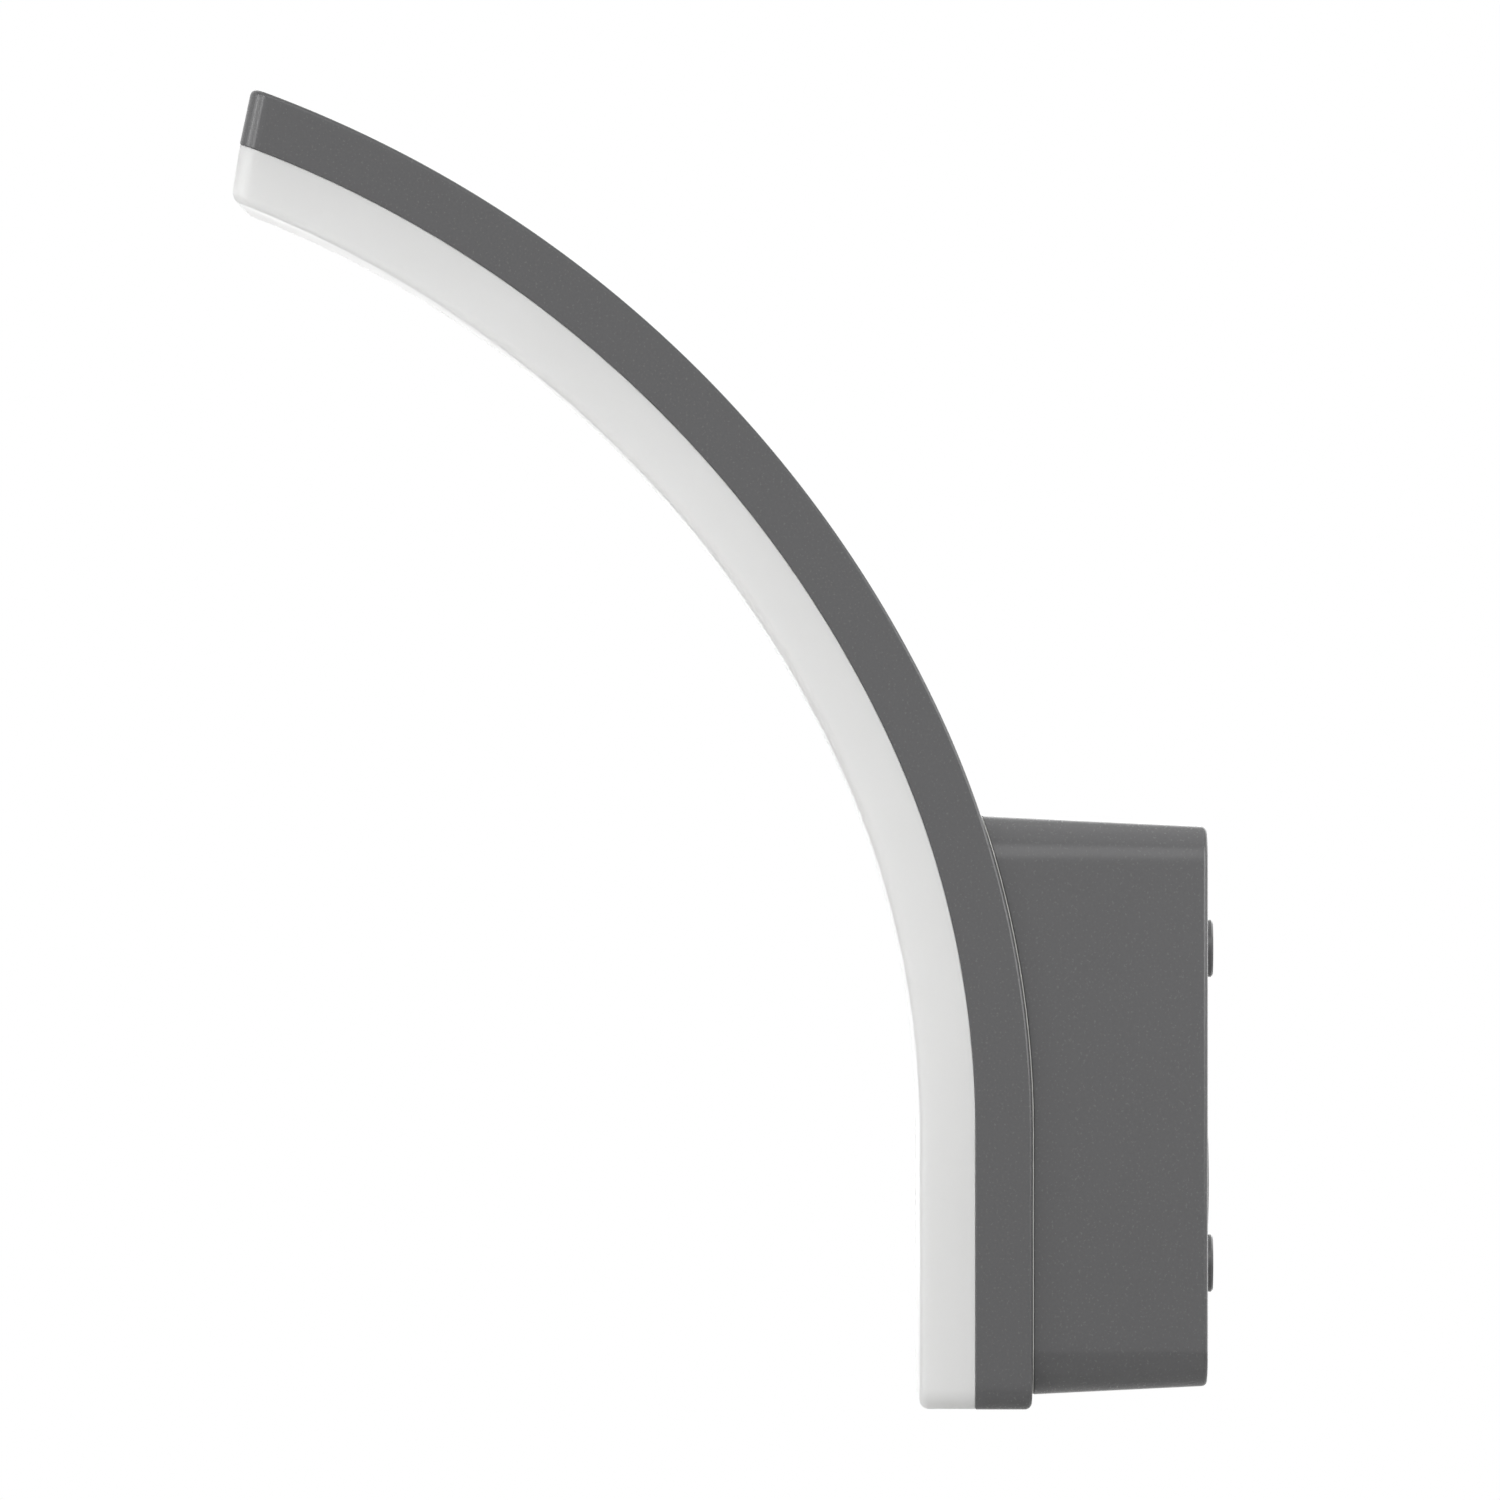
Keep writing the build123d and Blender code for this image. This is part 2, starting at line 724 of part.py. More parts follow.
def locking_nuts():
    """Square nuts inside the lugs."""
    half = lock_nut_width / 2
    nuts = []
    for side in lock_sides():
        nut = block(
            -half, half, lock_y - half, lock_y + half, side * nut_inner_z, side * nut_outer_z
        )
        bore = rod_z(
            lock_screw_diameter / 2 + thread_gap, 0, lock_y, side * lock_tip_z, side * lug_outer_z
        )
        nuts.append(nut - bore)
    return group(nuts)


# ---- tray ----
def driver_tray():
    """Steel tray with a slotted lug above and below that slides round the locking screws."""
    plate = rounded_bar(
        tray_half_width, tray_half_height, tray_corner_radius, tray_back_y, tray_face_y
    )
    half = lug_width / 2
    lug_end_y = lock_y + lug_length
    slot_half = lug_slot_width / 2
    for side in lock_sides():
        plate += block(-half, half, tray_back_y, tray_face_y, 0, side * lug_outer_z)
        lug = block(-half, half, tray_back_y, lug_end_y, side * lug_inner_z, side * lug_outer_z)
        slot_end_y = lug_end_y + run_past
        lug -= block(-slot_half, slot_half, lock_y, slot_end_y, side * nut_outer_z, side * pad_face_z)
        lug -= rod_z(slot_half, 0, lock_y, side * nut_outer_z, side * pad_face_z)
        plate += lug
    bends = [
        edge
        for edge in edges_at_y(plate, tray_back_y).filter_by(Axis.X)
        if abs(abs(edge.center().Z) - lug_outer_z) < tolerance
    ]
    plate = fillet(bends, tray_bend_radius)
    hole = screw_diameter / 2 + screw_clearance
    front_y, rear_y = tray_back_y - run_past, tray_face_y + run_past
    for x, z in tray_screw_places() + driver_screw_places() + terminal_fixing_places():
        plate -= rod_y(hole, x, z, front_y, rear_y)
    earth_hole = earth_screw_diameter / 2 + screw_clearance
    plate -= rod_y(earth_hole, earth_x, earth_z, front_y, rear_y)
    wire_hole = grommet_flange_diameter / 2 + tray_edge_gap / 2
    return plate - rod_y(wire_hole, grommet_x, grommet_z, front_y, rear_y)


def driver_screw_places():
    """Centres of the screws through the ears of the driver."""
    return [(-tray_screw_x, driver_ear_z), (tray_screw_x, driver_ear_z)]


def terminal_fixing_places():
    """Centres of the screws through the ears of the terminal block."""
    return [(-terminal_fixing_x, terminal_mid_z), (terminal_fixing_x, terminal_mid_z)]


def pan_screw(x, z, seat_y, length):
    """A small pan-head screw with its head on the wall side of its seat."""
    head = rod_y(screw_head_diameter / 2, x, z, seat_y, seat_y + screw_head_height)
    face_y = seat_y + screw_head_height
    head = fillet(edges_at_y(head, face_y), screw_head_edge_radius)
    for turn in (0, 90):
        cross = Rot(0, turn, 0) * Box(cross_width, 2 * cross_depth, cross_length)
        head -= Pos(x, face_y, z) * cross
    return head + rod_y(screw_diameter / 2, x, z, seat_y - length, seat_y)


def tray_screws():
    """Screws from the tray into the bosses of the arm."""
    return group(
        [
            pan_screw(x, z, tray_face_y, tray_thickness + boss_screw_depth)
            for x, z in tray_screw_places()
        ]
    )


# ---- driver ----
def driver_lid():
    """Base plate of the driver, with an ear on each side and posts for its board."""
    plate = block(
        -driver_half_width,
        driver_half_width,
        tray_face_y,
        driver_lid_y,
        driver_bottom_z,
        driver_top_z,
    )
    ear_half = driver_ear_height / 2
    plate += block(
        -tray_half_width,
        tray_half_width,
        tray_face_y,
        driver_lid_y,
        driver_ear_z - ear_half,
        driver_ear_z + ear_half,
    )
    for x, z in driver_screw_places():
        hole = screw_diameter / 2 + screw_clearance
        plate -= rod_y(hole, x, z, tray_face_y - run_past, driver_lid_y + run_past)
    for x, z in driver_post_places():
        plate += rod_y(driver_post_diameter / 2, x, z, driver_lid_y - overlap, driver_board_y)
    return plate


def driver_post_places():
    """Centres of the posts that carry the driver board."""
    x = inner_half_width - driver_post_diameter
    low_z = board_bottom_z + driver_post_diameter
    high_z = board_top_z - driver_post_diameter
    return [(-x, low_z), (x, low_z), (-x, high_z), (x, high_z)]


def driver_ports():
    """X, height above the board and radius of each hole for a lead in the driver case."""
    mains = [(x, mains_lead_y, mains_lead_diameter / 2) for x in (0, pole_pitch)]
    led = [(x, led_lead_y, led_lead_diameter / 2) for x in led_lead_xs()]
    return mains + led


def driver_case():
    """Moulded cover of the driver, open towards its base plate."""
    case = block(
        -driver_half_width,
        driver_half_width,
        driver_lid_y,
        driver_rear_y,
        driver_bottom_z,
        driver_top_z,
    )
    case = fillet(case.edges().filter_by(Axis.Y), driver_wall)
    case = fillet(edges_at_y(case, driver_rear_y), driver_rear_edge_radius)
    case -= block(
        -inner_half_width,
        inner_half_width,
        driver_lid_y - run_past,
        driver_rear_y - driver_wall,
        driver_bottom_z + driver_wall,
        driver_top_z - driver_wall,
    )
    for x, y, radius in driver_ports():
        hole_radius = radius + thread_gap
        inner_z = driver_bottom_z + driver_wall
        case -= rod_z(hole_radius, x, y, driver_bottom_z - run_past, inner_z + run_past)
    return case


def driver_board():
    """Circuit board of the driver."""
    half = inner_half_width - tray_edge_gap / 2
    return block(-half, half, driver_board_y, parts_y, board_bottom_z, board_top_z)


def driver_transformer():
    """Wound transformer: a core round a bobbin."""
    width, height, length = transformer_size
    mid_z = (board_bottom_z + board_top_z) / 2
    core = block(
        -width / 2, width / 2, parts_y, parts_y + height, mid_z - length / 2, mid_z + length / 2
    )
    winding_length = length + 2 * driver_wall
    winding = block(
        -winding_width / 2,
        winding_width / 2,
        parts_y + winding_inset,
        parts_y + height - winding_inset,
        mid_z - winding_length / 2,
        mid_z + winding_length / 2,
    )
    return core + winding


def driver_capacitors():
    """Two electrolytic capacitors lying on the board."""
    radius = capacitor_diameter / 2
    y = parts_y + radius
    start_z = board_top_z - driver_part_gap - capacitor_length
    return group(
        [
            rod_z(radius, side * (inner_half_width - 2 * radius), y, start_z, start_z + capacitor_length)
            for side in (-1, 1)
        ]
    )


def driver_choke():
    """Ring choke standing on the board."""
    x = -(transformer_size[0] / 2 + driver_part_gap + choke_diameter / 2)
    z = board_bottom_z + driver_part_gap + choke_diameter / 2
    hole = choke_hole_diameter / 2
    return tube_y(choke_diameter / 2, hole, x, z, parts_y, parts_y + choke_height)


def driver_screws():
    """Screws through the ears of the driver into the tray."""
    length = driver_wall + tray_thickness + tray_standoff / 2
    return group([pan_screw(x, z, driver_lid_y, length) for x, z in driver_screw_places()])


# ---- terminals ----
def pole_xs():
    """X of the earth, neutral and live poles."""
    return (-pole_pitch, 0, pole_pitch)


def terminal_block():
    """Three-pole screw terminal with an ear on each side."""
    body = block(
        -terminal_half_width,
        terminal_half_width,
        tray_face_y,
        terminal_rear_y,
        terminal_bottom_z,
        terminal_top_z,
    )
    body = chamfer(body.edges().filter_by(Axis.X), tray_edge_gap / 2)
    ear_half = terminal_ear_height / 2
    ear_x = terminal_half_width + terminal_ear_width
    body += block(
        -ear_x,
        ear_x,
        tray_face_y,
        tray_face_y + terminal_ear_thickness,
        terminal_mid_z - ear_half,
        terminal_mid_z + ear_half,
    )
    for x, z in terminal_fixing_places():
        hole = screw_diameter / 2 + screw_clearance
        body -= rod_y(hole, x, z, tray_face_y - run_past, terminal_rear_y + run_past)
    width, depth, height = (size + 2 * clamp_gap for size in clamp_size)
    for x in pole_xs():
        body -= block(
            x - width / 2,
            x + width / 2,
            mains_lead_y - depth / 2,
            mains_lead_y + depth / 2,
            terminal_mid_z - height / 2,
            terminal_mid_z + height / 2,
        )
        low_z, high_z = terminal_bottom_z - run_past, terminal_top_z + run_past
        body -= rod_z(port_diameter / 2, x, mains_lead_y, low_z, high_z)
        access = terminal_screw_head_diameter / 2 + clamp_gap
        body -= rod_y(access, x, terminal_mid_z, mains_lead_y, terminal_rear_y + run_past)
    return body


def terminal_clamps():
    """Brass clamps, one in each pole."""
    width, depth, height = clamp_size
    clamps = []
    for x in pole_xs():
        clamp = block(
            x - width / 2,
            x + width / 2,
            mains_lead_y - depth / 2,
            mains_lead_y + depth / 2,
            terminal_mid_z - height / 2,
            terminal_mid_z + height / 2,
        )
        clamp -= rod_z(
            clamp_hole_diameter / 2, x, mains_lead_y, terminal_bottom_z, terminal_top_z
        )
        thread = terminal_screw_diameter / 2 + thread_gap
        clamp -= rod_y(thread, x, terminal_mid_z, mains_lead_y, terminal_rear_y)
        clamps.append(clamp)
    return group(clamps)


def terminal_screws():
    """Clamping screws, a little below the face of the block."""
    head_y = terminal_rear_y - terminal_screw_recess
    neck_y = mains_lead_y + clamp_size[1] / 2 + clamp_gap
    tip_y = mains_lead_y + clamp_hole_diameter / 2
    screws = []
    for x in pole_xs():
        head = rod_y(terminal_screw_head_diameter / 2, x, terminal_mid_z, neck_y, head_y)
        slot = Box(terminal_slot_width, 2 * terminal_slot_depth, terminal_screw_head_diameter + run_past)
        shank = rod_y(terminal_screw_diameter / 2, x, terminal_mid_z, tip_y, neck_y)
        screws.append(head - Pos(x, head_y, terminal_mid_z) * slot + shank)
    return group(screws)


def terminal_fixing_screws():
    """Screws through the ears of the terminal block."""
    seat_y = tray_face_y + terminal_ear_thickness
    length = terminal_ear_thickness + tray_thickness + tray_standoff / 2
    return group([pan_screw(x, z, seat_y, length) for x, z in terminal_fixing_places()])


def earth_tag():
    """Crimped ring tag on the tray."""
    ring = tube_y(
        tag_ring_diameter / 2,
        earth_screw_diameter / 2 + screw_clearance,
        earth_x,
        earth_z,
        tray_face_y,
        tray_face_y + tag_thickness,
    )
    top_z = barrel_bottom_z + tag_barrel_length
    neck_top_z = earth_z - earth_screw_diameter / 2 - tray_edge_gap
    ring += block(
        earth_x - barrel_radius,
        earth_x + barrel_radius,
        tray_face_y,
        tray_face_y + tag_thickness,
        top_z - tag_thickness,
        neck_top_z,
    )
    ring += rod_z(barrel_radius, earth_x, barrel_y, barrel_bottom_z, top_z)
    hole = mains_lead_diameter / 2 + thread_gap / 2
    return ring - rod_z(hole, earth_x, barrel_y, barrel_bottom_z - run_past, top_z - tag_thickness)


def earth_screw():
    """Screw that holds the earth tag to the tray."""
    seat_y = tray_face_y + tag_thickness
    head = rod_y(earth_head_diameter / 2, earth_x, earth_z, seat_y, seat_y + earth_head_height)
    face_y = seat_y + earth_head_height
    slot = Box(earth_slot_width, 2 * earth_slot_depth, earth_head_diameter + run_past)
    slot = Pos(earth_x, face_y, earth_z) * slot
    tip_y = tray_back_y - tray_standoff / 2
    return head - slot + rod_y(earth_screw_diameter / 2, earth_x, earth_z, tip_y, seat_y)


# ---- leads ----
def lead(name, points, diameter):
    """A round lead along straight runs joined by arcs as large as the runs allow."""
    points = [Vector(*point) for point in points]
    runs = [after - before for before, after in zip(points, points[1:])]
    radii = []
    for run, next_run in zip(runs, runs[1:]):
        turn = math.radians(run.get_angle(next_run))
        radii.append(lead_arc_share * min(run.length, next_run.length) / math.tan(turn / 2))
    path = FilletPolyline(*points, radius=radii)
    section = Plane(origin=path @ 0, z_dir=path % 0) * Circle(diameter / 2)
    tube = sweep(section, path=path)
    expected = math.pi * diameter**2 / 4 * path.length
    print(
        name,
        "length",
        round(path.length, 1),
        "radii",
        [round(radius, 1) for radius in radii],
        "volume share",
        round(tube.volume / expected, 4),
    )
    return tube


def mains_lead(name, x):
    """A lead from a pole up to the driver, bowed a little towards the tray."""
    start_z = terminal_top_z - lead_stub
    end_z = driver_bottom_z + lead_stub
    middle_z = (terminal_top_z + driver_bottom_z) / 2
    points = [
        (x, mains_lead_y, start_z),
        (x, mains_lead_y, terminal_top_z + lead_stub),
        (x, mains_lead_y - lead_bow, middle_z),
        (x, mains_lead_y, driver_bottom_z - lead_stub),
        (x, mains_lead_y, end_z),
    ]
    return lead(name, points, mains_lead_diameter)


def earth_lead():
    """The lead from the earth pole to the tag."""
    gap = barrel_bottom_z - terminal_top_z
    points = [
        (earth_x, mains_lead_y, terminal_top_z - lead_stub),
        (earth_x, mains_lead_y, terminal_top_z + gap * earth_lead_lower_share),
        (earth_x, barrel_y, barrel_bottom_z - gap * earth_lead_upper_share),
        (earth_x, barrel_y, barrel_bottom_z + tag_barrel_length / 2),
    ]
    return lead("earth_lead", points, mains_lead_diameter)


def led_lead(name, x):
    """A lead from the driver through the grommet into the connector on the board."""
    end_y = seam_y + board_front - connector_size[2] / 2
    points = [
        (x, led_lead_y, driver_bottom_z + lead_stub),
        (x, led_lead_y, grommet_z),
        (x, end_y, grommet_z),
    ]
    return lead(name, points, led_lead_diameter)


NODES = {
    "wall_box": wall_box,
    "box_gasket": box_gasket,
    "cable_grommet": cable_grommet,
    "locking_screws": locking_screws,
    "locking_nuts": locking_nuts,
    "arm_channel": arm_channel,
    "diffuser": diffuser,
    "diffuser_seal": diffuser_seal,
    "led_carrier": led_carrier,
    "led_board": led_board,
    "led_chips": led_chips,
    "led_board_screws": led_board_screws,
    "board_connector": board_connector,
    "wire_grommet": wire_grommet,
    "driver_tray": driver_tray,
    "tray_screws": tray_screws,
    "driver_lid": driver_lid,
    "driver_case": driver_case,
    "driver_board": driver_board,
    "driver_transformer": driver_transformer,
    "driver_capacitors": driver_capacitors,
    "driver_choke": driver_choke,
    "driver_screws": driver_screws,
    "terminal_block": terminal_block,
    "terminal_clamps": terminal_clamps,
    "terminal_screws": terminal_screws,
    "terminal_fixing_screws": terminal_fixing_screws,
    "earth_tag": earth_tag,
    "earth_screw": earth_screw,
    "earth_lead": earth_lead,
    "live_lead": lambda: mains_lead("live_lead", pole_pitch),
    "neutral_lead": lambda: mains_lead("neutral_lead", 0),
    "led_lead_plus": lambda: led_lead("led_lead_plus", led_lead_xs()[0]),
    "led_lead_minus": lambda: led_lead("led_lead_minus", led_lead_xs()[1]),
}

os.makedirs("parts", exist_ok=True)
for node, make in NODES.items():
    export_step(make(), f"parts/{node}.step")
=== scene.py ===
"""Curved-arm LED wall light: smooth shells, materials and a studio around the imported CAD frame.

Metres, +Z up. The wall is the plane y = 0 and the lamp reaches out along -Y. Inside the shape
functions lengths are millimetres, and mesh_piece turns them to metres.
"""

import math

import bmesh
import bpy
import numpy as np
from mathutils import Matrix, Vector


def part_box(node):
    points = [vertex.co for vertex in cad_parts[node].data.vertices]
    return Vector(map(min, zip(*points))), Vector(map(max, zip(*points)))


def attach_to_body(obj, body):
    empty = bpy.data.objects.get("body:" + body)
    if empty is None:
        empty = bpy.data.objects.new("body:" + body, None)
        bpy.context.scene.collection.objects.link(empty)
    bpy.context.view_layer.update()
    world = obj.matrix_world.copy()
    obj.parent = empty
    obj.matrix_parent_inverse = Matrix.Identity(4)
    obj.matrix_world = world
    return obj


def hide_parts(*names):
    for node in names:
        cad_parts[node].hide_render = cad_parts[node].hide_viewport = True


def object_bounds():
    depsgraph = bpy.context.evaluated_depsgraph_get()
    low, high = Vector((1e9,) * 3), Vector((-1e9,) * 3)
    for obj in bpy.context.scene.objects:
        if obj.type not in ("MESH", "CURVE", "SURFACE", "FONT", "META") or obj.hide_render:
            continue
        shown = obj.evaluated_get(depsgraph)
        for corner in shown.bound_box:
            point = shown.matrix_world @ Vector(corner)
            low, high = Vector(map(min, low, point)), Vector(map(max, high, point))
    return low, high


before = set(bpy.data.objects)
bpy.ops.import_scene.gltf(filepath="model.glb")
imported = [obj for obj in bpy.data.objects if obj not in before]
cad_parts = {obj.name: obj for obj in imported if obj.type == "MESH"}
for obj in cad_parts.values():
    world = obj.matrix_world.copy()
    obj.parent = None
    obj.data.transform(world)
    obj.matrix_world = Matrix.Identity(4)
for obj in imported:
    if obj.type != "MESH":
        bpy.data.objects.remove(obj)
cad_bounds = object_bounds()

bl_info = {
    "name": "Curved-arm LED wall light",
    "version": (1, 0, 0),
    "blender": (4, 5, 0),
    "location": "View3D > Sidebar > Wall light",
    "description": "Builds the shells, finishes and studio of a curved-arm LED wall light",
    "category": "Object",
}

MM = 0.001


# ---- sizes and colours ----
def linear_colour(code):
    """Linear RGB of an sRGB hex colour.

    Each channel c becomes c / 12.92 up to 0.04045, else ((c + 0.055) / 1.055) ^ 2.4.
    """
    parts = [int(code.lstrip("#")[i : i + 2], 16) / 255 for i in (0, 2, 4)]
    return [c / 12.92 if c <= 0.04045 else ((c + 0.055) / 1.055) ** 2.4 for c in parts]


def colour_property(name, code, description):
    """A colour whose default is an sRGB hex colour."""
    return bpy.props.FloatVectorProperty(
        name=name,
        description=description,
        default=linear_colour(code),
        size=3,
        min=0.0,
        max=1.0,
        subtype="COLOR",
    )


def length_property(name, millimetres, description):
    """A length whose default is given in millimetres."""
    return bpy.props.FloatProperty(
        name=name, description=description, default=millimetres * MM, precision=5, unit="LENGTH"
    )


def angle_property(name, degrees, description):
    """An angle whose default is given in degrees."""
    return bpy.props.FloatProperty(
        name=name, description=description, default=math.radians(degrees), subtype="ANGLE"
    )


class WallLightSizes(bpy.types.PropertyGroup):
    """Sizes of the arm and the wall box. The CAD frame has the same ones."""

    arm_width: length_property("Arm width", 80.0, "Across the arm")
    arm_bottom: length_property("Arm bottom", -57.5, "Height of the lower end")
    straight: length_property("Straight", 53.0, "Length below the bend")
    lower_radius: length_property("Lower radius", 177.1, "Seam radius of the lower arc")
    lower_angle: angle_property("Lower angle", 25.8, "Turn of the lower arc")
    upper_radius: length_property("Upper radius", 218.7, "Seam radius of the upper arc")
    upper_angle: angle_property("Upper angle", 44.2, "Turn of the upper arc")
    seam: length_property("Seam", -45.4, "Y of the straight seam")
    channel_depth: length_property("Channel depth", 10.8, "From the seam to the back")
    channel_wall: length_property("Channel wall", 2.2, "Wall of the channel")
    channel_lean: angle_property("Channel lean", 8.0, "Forward lean of the upper end")
    end_corner: length_property("End corner", 4.0, "Corner radius seen from the front")
    side_edge: length_property("Side edge", 0.7, "Radius of the back edge along the sides")
    end_edge: length_property("End edge", 1.4, "Radius of the back edge round the ends")
    lip_edge: length_property("Lip edge", 0.25, "Radius of the thin edges")
    diffuser_depth: length_property("Diffuser depth", 10.6, "From the seam to the lit face")
    diffuser_wall: length_property("Diffuser wall", 1.8, "Wall of the diffuser")
    diffuser_inset: length_property("Diffuser inset", 0.1, "How far it stands in from the channel")
    diffuser_lean: angle_property("Diffuser lean", 11.0, "Forward lean of its upper end")
    diffuser_edge: length_property("Diffuser edge", 1.8, "Radius of the lit edge")
    skirt_depth: length_property("Skirt depth", 2.8, "Depth of the skirt in the channel")
    skirt_wall: length_property("Skirt wall", 1.5, "Wall of the skirt")
    box_width: length_property("Box width", 74.0, "Across the rear of the wall box")
    box_height: length_property("Box height", 106.5, "Height of the rear of the wall box")
    box_draft: angle_property("Box draft", 2.8, "How much it widens towards the arm")
    box_corner: length_property("Box corner", 7.0, "Corner radius at the rear")
    box_wall: length_property("Box wall", 2.6, "Side wall of the box")
    box_rear: length_property("Box rear", -1.2, "Y of the rear face")
    box_inside: length_property("Box inside", -4.2, "Y of the inner rear face")
    box_edge: length_property("Box rear edge", 1.0, "Radius of the rear edge")
    rim_offset: length_property("Rim", 11.1, "From the seam to the rim of the box")
    rebate_offset: length_property("Rebate", 12.5, "From the seam to the foot of the gasket")
    rim_land: length_property("Rim land", 1.4, "Wall outside the gasket")
    spigot_width: length_property("Spigot width", 71.18, "Across the rib behind the arm")
    spigot_height: length_property("Spigot height", 103.68, "Height of the rib behind the arm")
    spigot_wall: length_property("Spigot wall", 1.4, "Thickness of that rib")
    spigot_offset: length_property("Spigot offset", 13.8, "From the seam to its edge")


class WallLightColours(bpy.types.PropertyGroup):
    """Colours of the finishes."""

    housing: colour_property("Housing", "#5D5D5E", "Powder coat of the arm and the wall box")
    opal: colour_property("Diffuser", "#F3F3F2", "Opal acrylic of the diffuser")
    rubber: colour_property("Rubber", "#2A2A2B", "Grommets")
    silicone: colour_property("Silicone", "#D8D8D4", "Gasket and diffuser seal")
    steel: colour_property("Zinc plate", "#B9BDC0", "Screws and nuts")
    sheet: colour_property("Galvanised sheet", "#A9ADB0", "Driver tray")
    aluminium: colour_property("Aluminium strip", "#C4C6C8", "Light engine carrier")
    white_board: colour_property("White board", "#F2F2EE", "LED board")
    green_board: colour_property("Green board", "#2F6B45", "Driver board")
    phosphor: colour_property("Phosphor", "#E9D98A", "LED packages")
    connector: colour_property("Connector", "#ECEAE2", "Board connector")
    driver: colour_property("Driver case", "#F0EFEC", "Driver lid and case")
    terminal: colour_property("Terminal block", "#E8E6DF", "Terminal block")
    ferrite: colour_property("Ferrite", "#3A3A3D", "Transformer and choke")
    sleeve: colour_property("Sleeve", "#23262B", "Capacitor sleeves")
    brass: colour_property("Brass", "#C9A659", "Clamps and earth tag")
    brown: colour_property("Live", "#5E3A22", "Live lead")
    blue: colour_property("Neutral", "#2F62A8", "Neutral lead")
    green: colour_property("Earth green", "#2E7D3A", "Earth lead")
    yellow: colour_property("Earth yellow", "#E3C92B", "Stripe of the earth lead")
    red: colour_property("LED plus", "#B3261E", "Positive LED lead")
    black: colour_property("LED minus", "#1E1E20", "Negative LED lead")
    floor: colour_property("Floor", "#F1F1F0", "Studio floor")


class WallLightStudio(bpy.types.PropertyGroup):
    """Sizes of the studio."""

    view_distance: length_property("Camera distance", 3000.0, "From the near side of the arm")
    view_width: length_property("View width", 284.6, "Width of the picture at the near side")
    view_y: length_property("View centre Y", -88.2, "Y of the middle of the picture")
    view_z: length_property("View centre Z", 67.8, "Height of the middle of the picture")
    floor_drop: length_property("Floor drop", 320.0, "From the origin down to the floor")
    floor_radius: length_property("Floor radius", 2600.0, "Half the width of the floor")


def size(name):
    """A size in millimetres, or an angle in radians."""
    value = getattr(bpy.context.scene.wall_light_sizes, name)
    return value if name.endswith(("_angle", "_lean", "_draft")) else value / MM


def colours():
    """The colour settings."""
    return bpy.context.scene.wall_light_colours


# ---- materials ----
def add_node(tree, kind, inputs=None, **settings):
    """Adds one node.

    Settings are its own options, and inputs hold a value or the socket that feeds each.
    """
    node = tree.nodes.new(kind)
    for name, value in settings.items():
        setattr(node, name, value)
    for name, value in (inputs or {}).items():
        if isinstance(value, bpy.types.NodeSocket):
            tree.links.new(value, node.inputs[name])
        else:
            node.inputs[name].default_value = value
    return node


# Noise mostly stays between these values, so they are where its effect starts and ends.
NOISE_LOW = 0.3
NOISE_HIGH = 0.7


def shade(colour, factor):
    """A linear colour made lighter or darker, with its alpha."""
    return [*(min(channel * factor, 1.0) for channel in colour), 1.0]


def finish(name, colour, cloud, roughness, grain, paint=None, **settings):
    """A material whose colour, roughness and bump follow noise, sized in real millimetres.

    cloud is the size of its cloudiness and how dark and how light that makes the colour. The
    roughness goes from the first value to the second with it. grain lists bumps, each a size, a
    depth and how much finer it is on each axis. paint may change the colour, and settings go
    straight to the shader.
    """
    material = bpy.data.materials.new(name)
    material.use_nodes = True
    tree = material.node_tree
    tree.nodes.clear()
    place = add_node(tree, "ShaderNodeTexCoord").outputs["Object"]
    spread, dark, light = cloud
    inputs = {"Vector": place, "Scale": 1 / (spread * MM), "Detail": 2.0}
    clouds = add_node(tree, "ShaderNodeTexNoise", inputs).outputs["Fac"]
    ramp = add_node(tree, "ShaderNodeValToRGB", {"Fac": clouds})
    stops = zip(ramp.color_ramp.elements, (NOISE_LOW, NOISE_HIGH), (dark, light))
    for stop, position, factor in stops:
        stop.position = position
        stop.color = shade(colour, factor)
    base = ramp.outputs["Color"]
    if paint:
        base = paint(tree, place, base)
    low, high = roughness
    inputs = {"Value": clouds, "From Min": NOISE_LOW, "From Max": NOISE_HIGH}
    inputs.update({"To Min": low, "To Max": high})
    rough = add_node(tree, "ShaderNodeMapRange", inputs).outputs["Result"]
    shader = add_node(tree, "ShaderNodeBsdfPrincipled", {"Base Color": base, "Roughness": rough})
    for socket, value in settings.items():
        shader.inputs[socket.replace("_", " ")].default_value = value
    bumps = {}
    for spread, depth, stretch in grain:
        mapped = add_node(tree, "ShaderNodeMapping", {"Vector": place, "Scale": stretch})
        inputs = {"Vector": mapped.outputs[0], "Scale": 1 / (spread * MM), "Detail": 1.5}
        height = add_node(tree, "ShaderNodeTexNoise", inputs).outputs["Fac"]
        bumps.update({"Height": height, "Distance": depth * MM})
        bumps["Normal"] = add_node(tree, "ShaderNodeBump", bumps).outputs["Normal"]
    tree.links.new(bumps["Normal"], shader.inputs["Normal"])
    add_node(tree, "ShaderNodeOutputMaterial", {"Surface": shader.outputs["BSDF"]})
    return material


EVEN = (1.0, 1.0, 1.0)  # a grain as fine on every axis


def toned(tree, base, inputs):
    """A colour made lighter or darker by a value, which these inputs map to brightness."""
    level = add_node(tree, "ShaderNodeMapRange", inputs).outputs["Result"]
    inputs = {0: base, "Scale": level}
    return add_node(tree, "ShaderNodeVectorMath", inputs, operation="SCALE").outputs[0]


